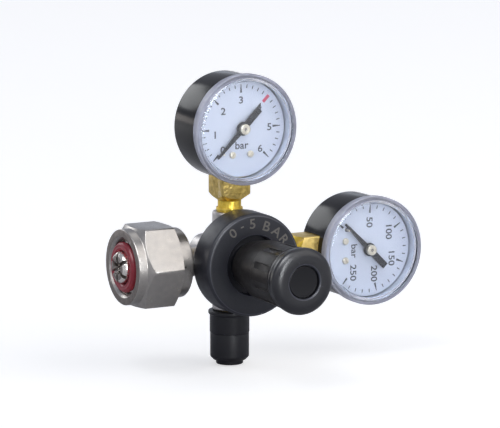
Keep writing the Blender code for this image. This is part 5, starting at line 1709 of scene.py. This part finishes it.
    def make_dial(self) -> None:
        """The white dial plate with holes for the arbor, the screws and the stop pin."""
        back = self.dial_front - 0.4
        outline = rounded([
            (1.2, back, 0.0),
            (self.dial_r, back, 0.0),
            (self.dial_r, self.dial_front, 0.12),
            (1.2, self.dial_front, 0.0),
        ])
        dial = lathe(self.prefix + "dial_plate", outline, 128)
        pin_x, pin_y = polar(self.stop_at, self.zero + 4.0)
        holes = (
            (-self.screw_x, -self.screw_drop, self.hole_r),
            (self.screw_x, -self.screw_drop, self.hole_r),
            (pin_x, pin_y, self.stop_r + 0.3),
        )
        for x, y, radius in holes:
            hole = lathe("hole", drum(radius, back - PAST, back + 2.0), 24)
            carve(dial, place(hole, Matrix.Translation((x * MM, y * MM, 0.0))), Cut.AWAY)
        self.set_on(dial, Aim.FRONT, FINISHES.dial, ["dial"])
        pin = rounded([
            (0.0, back - 0.4, 0.0),
            (self.stop_r, back - 0.4, 0.0),
            (self.stop_r, self.stop_front, 0.2),
            (0.0, self.stop_front, 0.0),
        ], closed=False)
        post = lathe(self.prefix + "brass_stop_pin", pin, 24)
        place(post, Matrix.Translation((pin_x * MM, pin_y * MM, 0.0)))
        self.set_on(post, Aim.FRONT, FINISHES.hub, ["stop_pin"])

    def print_dial(self) -> None:
        """The printed ticks, numbers and unit, and the red mark."""
        low = self.dial_front - 0.01
        high = self.dial_front + self.print_thickness
        outer, inner = self.scale.wedge
        majors = prism("majors", bar_mark((0.125, outer), (0.45, inner)), low, high)
        minors = prism("minors", bar_mark((0.16, outer), (0.21, outer - 1.4)), low, high)
        start = Matrix.Rotation(math.radians(-self.scale.start), 4, "Z")
        count = self.scale.majors
        for item, steps in ((majors, count), (minors, count * self.scale.minors_each)):
            place(item, start)
            repeat_around(item, steps, self.sweep)
        printed = [majors, minors]
        for text, angle, radius in self.scale.marks:
            number = lettering(text, self.number_height, self.print_thickness + 0.01, 0.016, 1.15)
            printed.append(self.lay(number, *polar(radius, 90.0 - angle)))
        unit = lettering("bar", self.scale.unit_height, self.print_thickness + 0.01, 0.014, 1.08)
        printed.append(self.lay(unit, *self.scale.unit_at))
        self.set_on(join(printed, self.prefix + "dial_print"), Aim.FRONT, FINISHES.ink, [])
        if self.scale.red_at is not None:
            outline = bar_mark((0.65, outer), (0.65, inner - 0.2))
            red = prism(self.prefix + "red_mark", outline, low, high + 0.01)
            place(red, Matrix.Rotation(math.radians(-self.scale.red_at), 4, "Z"))
            self.set_on(red, Aim.FRONT, FINISHES.red_ink, [])

    def lay(self, item: bpy.types.Object, x: float, y: float) -> bpy.types.Object:
        """Lays letters on the dial at a place."""
        height = self.dial_front - 0.01 + (self.print_thickness + 0.01) / 2
        return place(item, Matrix.Translation((x * MM, y * MM, height * MM)))

    def make_pointer(self) -> None:
        """The black pointer at zero, and its turned hub."""
        boss = self.hand_boss_r
        root = math.degrees(math.asin(1.0 / boss))
        tail = 180.0 - math.degrees(math.asin(1.3 / boss))
        outline = [
            (self.hand_length, -0.42),
            (self.hand_length, 0.42),
            *arc(boss, root, tail, 14),
            (-self.tail_length, 1.3),
            (-self.tail_length, -1.3),
            *arc(boss, -tail, -root, 14),
        ]
        pointer = prism(self.prefix + "pointer_blade", outline, self.pointer_back, self.pointer_back + 0.5)
        carve(pointer, lathe("hole", drum(0.9, 9.0, 12.0), 24), Cut.AWAY)
        soften(pointer, 0.08, 2, 40.0)
        place(pointer, Matrix.Rotation(math.radians(self.zero), 4, "Z"))
        self.set_on(pointer, Aim.FRONT, FINISHES.pointer, ["pointer"], self.hand)
        back = self.pointer_back + 0.8
        front = back + 1.8
        hub = rounded([
            (0.0, front - 0.35, 0.0),
            (0.45, front - 0.35, 0.1),
            (0.6, front - 0.1, 0.1),
            (1.6, front, 0.1),
            (self.hub_r, front - 0.1, 0.2),
            (self.hub_r, back, 0.1),
            (0.9, back, 0.0),
            (0.9, front - 0.6, 0.0),
            (0.0, front - 0.6, 0.0),
        ], closed=False)
        hub_piece = lathe(self.prefix + "turned_hub", hub, 48)
        self.set_on(hub_piece, Aim.FRONT, FINISHES.hub, ["pointer_hub"], self.hand)

        def in_dimple(spot: Vector, normal: Vector) -> bool:
            """Whether a face is in the hub's middle dimple."""
            away = spot - self.middle
            return math.hypot(away.x, away.z) < 0.62 * MM

        # The dimple gets painted shade, the darker nickel
        dress_faces(hub_piece, FINISHES.mouth, in_dimple)

    def make_screw(self, side: str, x: float) -> None:
        """A slotted brass screw in the dial.

        Args:
            side: The side that its name ends with, left or right.
            x: Its place across the dial, in millimetres.
        """
        back = self.dial_front + 0.3
        front = back + 0.8
        outline = rounded([
            (0.0, back - 6.0, 0.0),
            (0.8, back - 6.0, 0.2),
            (0.8, back, 0.0),
            (1.3, back, 0.1),
            (1.3, front, 0.35),
            (0.0, front, 0.0),
        ], closed=False)
        screw = lathe(f"{self.prefix}brass_screw_{side}", outline, 40)
        slot = prism("slot", rounded(box_corners(2.0, 0.2, 0.0)), front - 0.4, front + PAST)
        turn = 62.0 if side == "left" else 28.0
        carve(screw, place(slot, Matrix.Rotation(math.radians(turn), 4, "Z")), Cut.AWAY)
        place(screw, Matrix.Translation((x * MM, -self.screw_drop * MM, 0.0)))
        self.set_on(screw, Aim.FRONT, FINISHES.hub, [f"dial_screw_{side}"])


# What stays as packed


CARRIED = {
    "nut_slip_ring": FINISHES.brass,
    "inlet_filter": FINISHES.bronze,
    "valve_seat": FINISHES.nylon,
    "valve_poppet": FINISHES.steel,
    "poppet_spring": FINISHES.steel,
    "plug_seal": FINISHES.rubber,
    "diaphragm": FINISHES.rubber,
    "clamp_ring": FINISHES.steel,
    "diaphragm_plate": FINISHES.brass,
    "range_spring": FINISHES.steel,
    "spring_plate": FINISHES.brass,
    "outlet_adapter": FINISHES.brass,
    "outlet_washer": FINISHES.rubber,
    "tube_seal": FINISHES.rubber,
    "grab_ring": FINISHES.steel,
    "low_bourdon_tube": FINISHES.brass,
    "low_movement_frame": FINISHES.brass,
    "low_sector": FINISHES.brass,
    "low_pinion": FINISHES.brass,
    "low_link": FINISHES.brass,
    "high_bourdon_tube": FINISHES.brass,
    "high_movement_frame": FINISHES.brass,
    "high_sector": FINISHES.brass,
    "high_pinion": FINISHES.brass,
    "high_link": FINISHES.brass,
}


def dress_carried(nodes: dict[str, bpy.types.Object]) -> None:
    """Gives the inner CAD nodes, which keep their shapes, their finishes.

    Args:
        nodes: The CAD objects by name.
    """
    for name, finish in CARRIED.items():
        item = nodes[name]
        item.data.materials.clear()
        item.data.materials.append(finish.material())
        LOG.info("%s keeps its solid", name)


# The studio


@dataclass(frozen=True)
class Lamp:
    """A rectangular studio lamp that looks at the regulator and isn't seen itself."""

    name: str
    way: tuple[float, float, float]
    distance: float
    size: tuple[float, float]
    brightness: float
    colour: Colour
    only_mirrored: bool = False

    def build(self, target: Vector) -> None:
        """Adds the lamp, turned towards a target.

        Args:
            target: The place it looks at.
        """
        spot = target + Vector(self.way).normalized() * self.distance
        activate(bpy.context.view_layer.objects.active)
        bpy.ops.object.light_add(type="AREA", location=spot)
        lamp = bpy.context.object
        lamp.name = self.name
        lamp.visible_camera = False
        lamp.visible_diffuse = not self.only_mirrored
        lamp.data.shape = "RECTANGLE"
        lamp.data.size, lamp.data.size_y = self.size
        lamp.data.energy = self.brightness * math.pi * self.size[0] * self.size[1]
        lamp.data.color = self.colour
        lamp.rotation_euler = (target - spot).to_track_quat("-Z", "Y").to_euler()


@dataclass(frozen=True)
class Studio:
    """The floor, the lamps, the surroundings and the camera."""

    floor_z: float = -0.0413
    floor_size: float = 30.0
    floor_colour: Colour = (0.70, 0.70, 0.70)
    floor_mirrored: Colour = (0.66, 0.66, 0.67)
    floor_glow: float = 0.6
    near: float = 0.15
    far: float = 0.7
    target: tuple[float, float, float] = (0.055, 0.0, 0.02)
    camera_spot: tuple[float, float, float] = (-0.61359, -1.24838, 0.25771)
    camera_look: tuple[float, float, float] = (0.4663, 0.8685, -0.1682)
    camera_right: tuple[float, float, float] = (0.881, -0.473, 0.0)
    lens: float = 271.4
    sensor: float = 36.0
    horizon: Colour = (0.38, 0.40, 0.46)
    zenith: Colour = (0.34, 0.36, 0.42)
    lamps: tuple[Lamp, ...] = (
        Lamp("key_lamp", (0.52, -0.58, 0.63), 2.2, (2.0, 2.0), 1.42, (1.0, 0.97, 0.93)),
        Lamp("sky_lamp", (-0.39, -0.16, 0.86), 1.6, (0.5, 0.5), 3.5, (0.96, 0.98, 1.0)),
        Lamp("top_lamp", (-0.42, -0.42, 0.80), 1.6, (0.95, 0.95), 8.0, (0.96, 0.98, 1.0), True),
        Lamp("over_lamp", (0.45, 0.32, 0.82), 2.0, (1.1, 1.1), 0.75, (1.0, 0.98, 0.95), True),
        Lamp("left_lamp", (-0.85, -0.25, 0.45), 1.6, (0.7, 0.7), 1.3, (1.0, 0.98, 0.96), True),
        Lamp("window_lamp", (-0.22, 0.87, 0.36), 1.6, (0.75, 0.50), 2.6, (0.97, 0.99, 1.0), True),
        Lamp("card_lamp", (-0.486, 0.8685, 0.06), 1.6, (0.5, 0.16), 1.8, (1.0, 0.93, 0.88), True),
        Lamp("strip_lamp", (-0.09, -0.98, 0.20), 0.5, (0.07, 0.3), 20.0, (0.95, 0.98, 1.0), True),
        Lamp("rear_lamp", (0.466, 0.8685, 0.19), 1.8, (0.5, 0.24), 0.5, (0.80, 0.88, 1.0), True),
    )

    def build(self) -> None:
        """Sets up the floor, the lamps, the world and the camera."""
        self.lay_floor()
        for lamp in self.lamps:
            lamp.build(Vector(self.target))
        self.set_world()
        self.set_camera()
        bpy.context.scene.view_settings.view_transform = "Standard"

    def lay_floor(self) -> None:
        """A plain pale floor that keeps shadows and is white to the camera and, further off, to metal."""
        activate(bpy.context.view_layer.objects.active)
        bpy.ops.mesh.primitive_plane_add(size=self.floor_size, location=(0.0, 0.0, self.floor_z))
        floor = bpy.context.object
        floor.name = "floor"
        bpy.ops.object.transform_apply(location=True, rotation=False, scale=False)
        material = bpy.data.materials.new("pale_floor")
        material.use_nodes = True
        tree = material.node_tree
        shader = tree.nodes["Principled BSDF"]
        shader.inputs["Roughness"].default_value = 0.9
        shader.inputs["Specular IOR Level"].default_value = 0.0
        shader.inputs["Emission Color"].default_value = (1.0, 1.0, 1.0, 1.0)
        spot = add(tree, "ShaderNodeTexCoord").outputs["Object"]
        away = add(tree, "ShaderNodeVectorMath", {0: spot}, operation="LENGTH").outputs["Value"]
        path = tree.nodes.new("ShaderNodeLightPath")
        colour = mix_colours(tree, path.outputs["Is Glossy Ray"], self.floor_colour, self.floor_mirrored)
        tree.links.new(colour, shader.inputs["Base Color"])
        far_off = spread(tree, away, (self.near, self.far, 0.0, 1.0))
        mirrored = math_of(tree, "MULTIPLY", path.outputs["Is Glossy Ray"], far_off)
        seen = math_of(tree, "ADD", path.outputs["Is Camera Ray"], path.outputs["Is Transmission Ray"])
        total = math_of(tree, "MINIMUM", math_of(tree, "ADD", seen, mirrored), 1.0)
        tree.links.new(math_of(tree, "MULTIPLY", total, self.floor_glow), shader.inputs["Emission Strength"])
        floor.data.materials.append(material)

    def set_world(self) -> None:
        """Pale surroundings: white where seen directly, and a soft bluish sky as light."""
        world = bpy.data.worlds.new("studio")
        bpy.context.scene.world = world
        world.use_nodes = True
        tree = world.node_tree
        tree.nodes.clear()
        way = add(tree, "ShaderNodeTexCoord").outputs["Generated"]
        height = add(tree, "ShaderNodeSeparateXYZ", {0: way}).outputs[2]
        share = spread(tree, height, (0.0, 0.9, 0.0, 1.0))
        sky = mix_colours(tree, share, self.horizon, self.zenith)
        path = tree.nodes.new("ShaderNodeLightPath")
        seen = math_of(tree, "MAXIMUM", path.outputs["Is Camera Ray"], path.outputs["Is Transmission Ray"])
        colour = mix_colours(tree, seen, sky, (1.0, 1.0, 1.0))
        background = add(tree, "ShaderNodeBackground", {"Color": colour, "Strength": 1.0})
        add(tree, "ShaderNodeOutputWorld", {"Surface": background.outputs[0]})

    def set_camera(self) -> None:
        """The camera at the photograph's angle."""
        look = Vector(self.camera_look).normalized()
        right = Vector(self.camera_right).normalized()
        up = right.cross(look)
        activate(bpy.context.view_layer.objects.active)
        bpy.ops.object.camera_add()
        camera = bpy.context.object
        camera.name = "photo_camera"
        turn = Matrix((right, up, -look)).transposed().to_4x4()
        camera.matrix_world = Matrix.Translation(self.camera_spot) @ turn
        camera.data.lens = self.lens
        camera.data.sensor_width = self.sensor
        camera.data.clip_end = 100.0
        bpy.context.scene.camera = camera


# Each mark's text, angle and radius
WORKING_SCALE = Scale(
    marks=(
        ("0", -135.0, 11.0),
        ("1", -99.5, 11.2),
        ("2", -47.5, 10.3),
        ("3", 0.0, 10.8),
        ("4", 45.0, 11.0),
        ("5", 91.2, 12.2),
        ("6", 135.0, 11.65),
    ),
    majors=6,
    minors_each=5,
    wedge=(16.8, 13.6),
    start=-135.0,
    unit_at=(0.4, -6.5),
    unit_height=2.9,
    red_at=45.0,
)

# Angles on this dial's own face, before the gauge is turned a quarter clockwise
CYLINDER_SCALE = Scale(
    marks=(
        ("0", -135.0, 11.8),
        ("50", -85.0, 10.4),
        ("100", -31.0, 11.2),
        ("150", 23.5, 11.9),
        ("200", 73.0, 10.5),
        ("250", 125.0, 10.9),
    ),
    majors=5,
    minors_each=5,
    wedge=(17.3, 14.1),
    start=-140.0,
    unit_at=(0.45, -5.85),
    unit_height=2.75,
)


def main() -> None:
    """Builds the regulator's looks and the studio."""
    logging.basicConfig(level=logging.INFO, format="%(message)s")
    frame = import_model()
    activate(next(iter(frame["nodes"].values())))
    dress_carried(frame["nodes"])
    gauges = (
        Gauge("low_", CROSSING + LOW_MIDDLE, 0.0, WORKING_SCALE, "low_hand", FINISHES.cast_brass),
        Gauge("high_", CROSSING + HIGH_MIDDLE, math.pi / 2, CYLINDER_SCALE, "high_hand", FINISHES.brass),
    )
    for part in (CastBody(), InletSet(), BonnetSet(), KnobSet(), OutletSet(), *gauges):
        LOG.info("building %s", type(part).__name__)
        part.build()
    Studio().build()


if __name__ == "__main__":
    main()
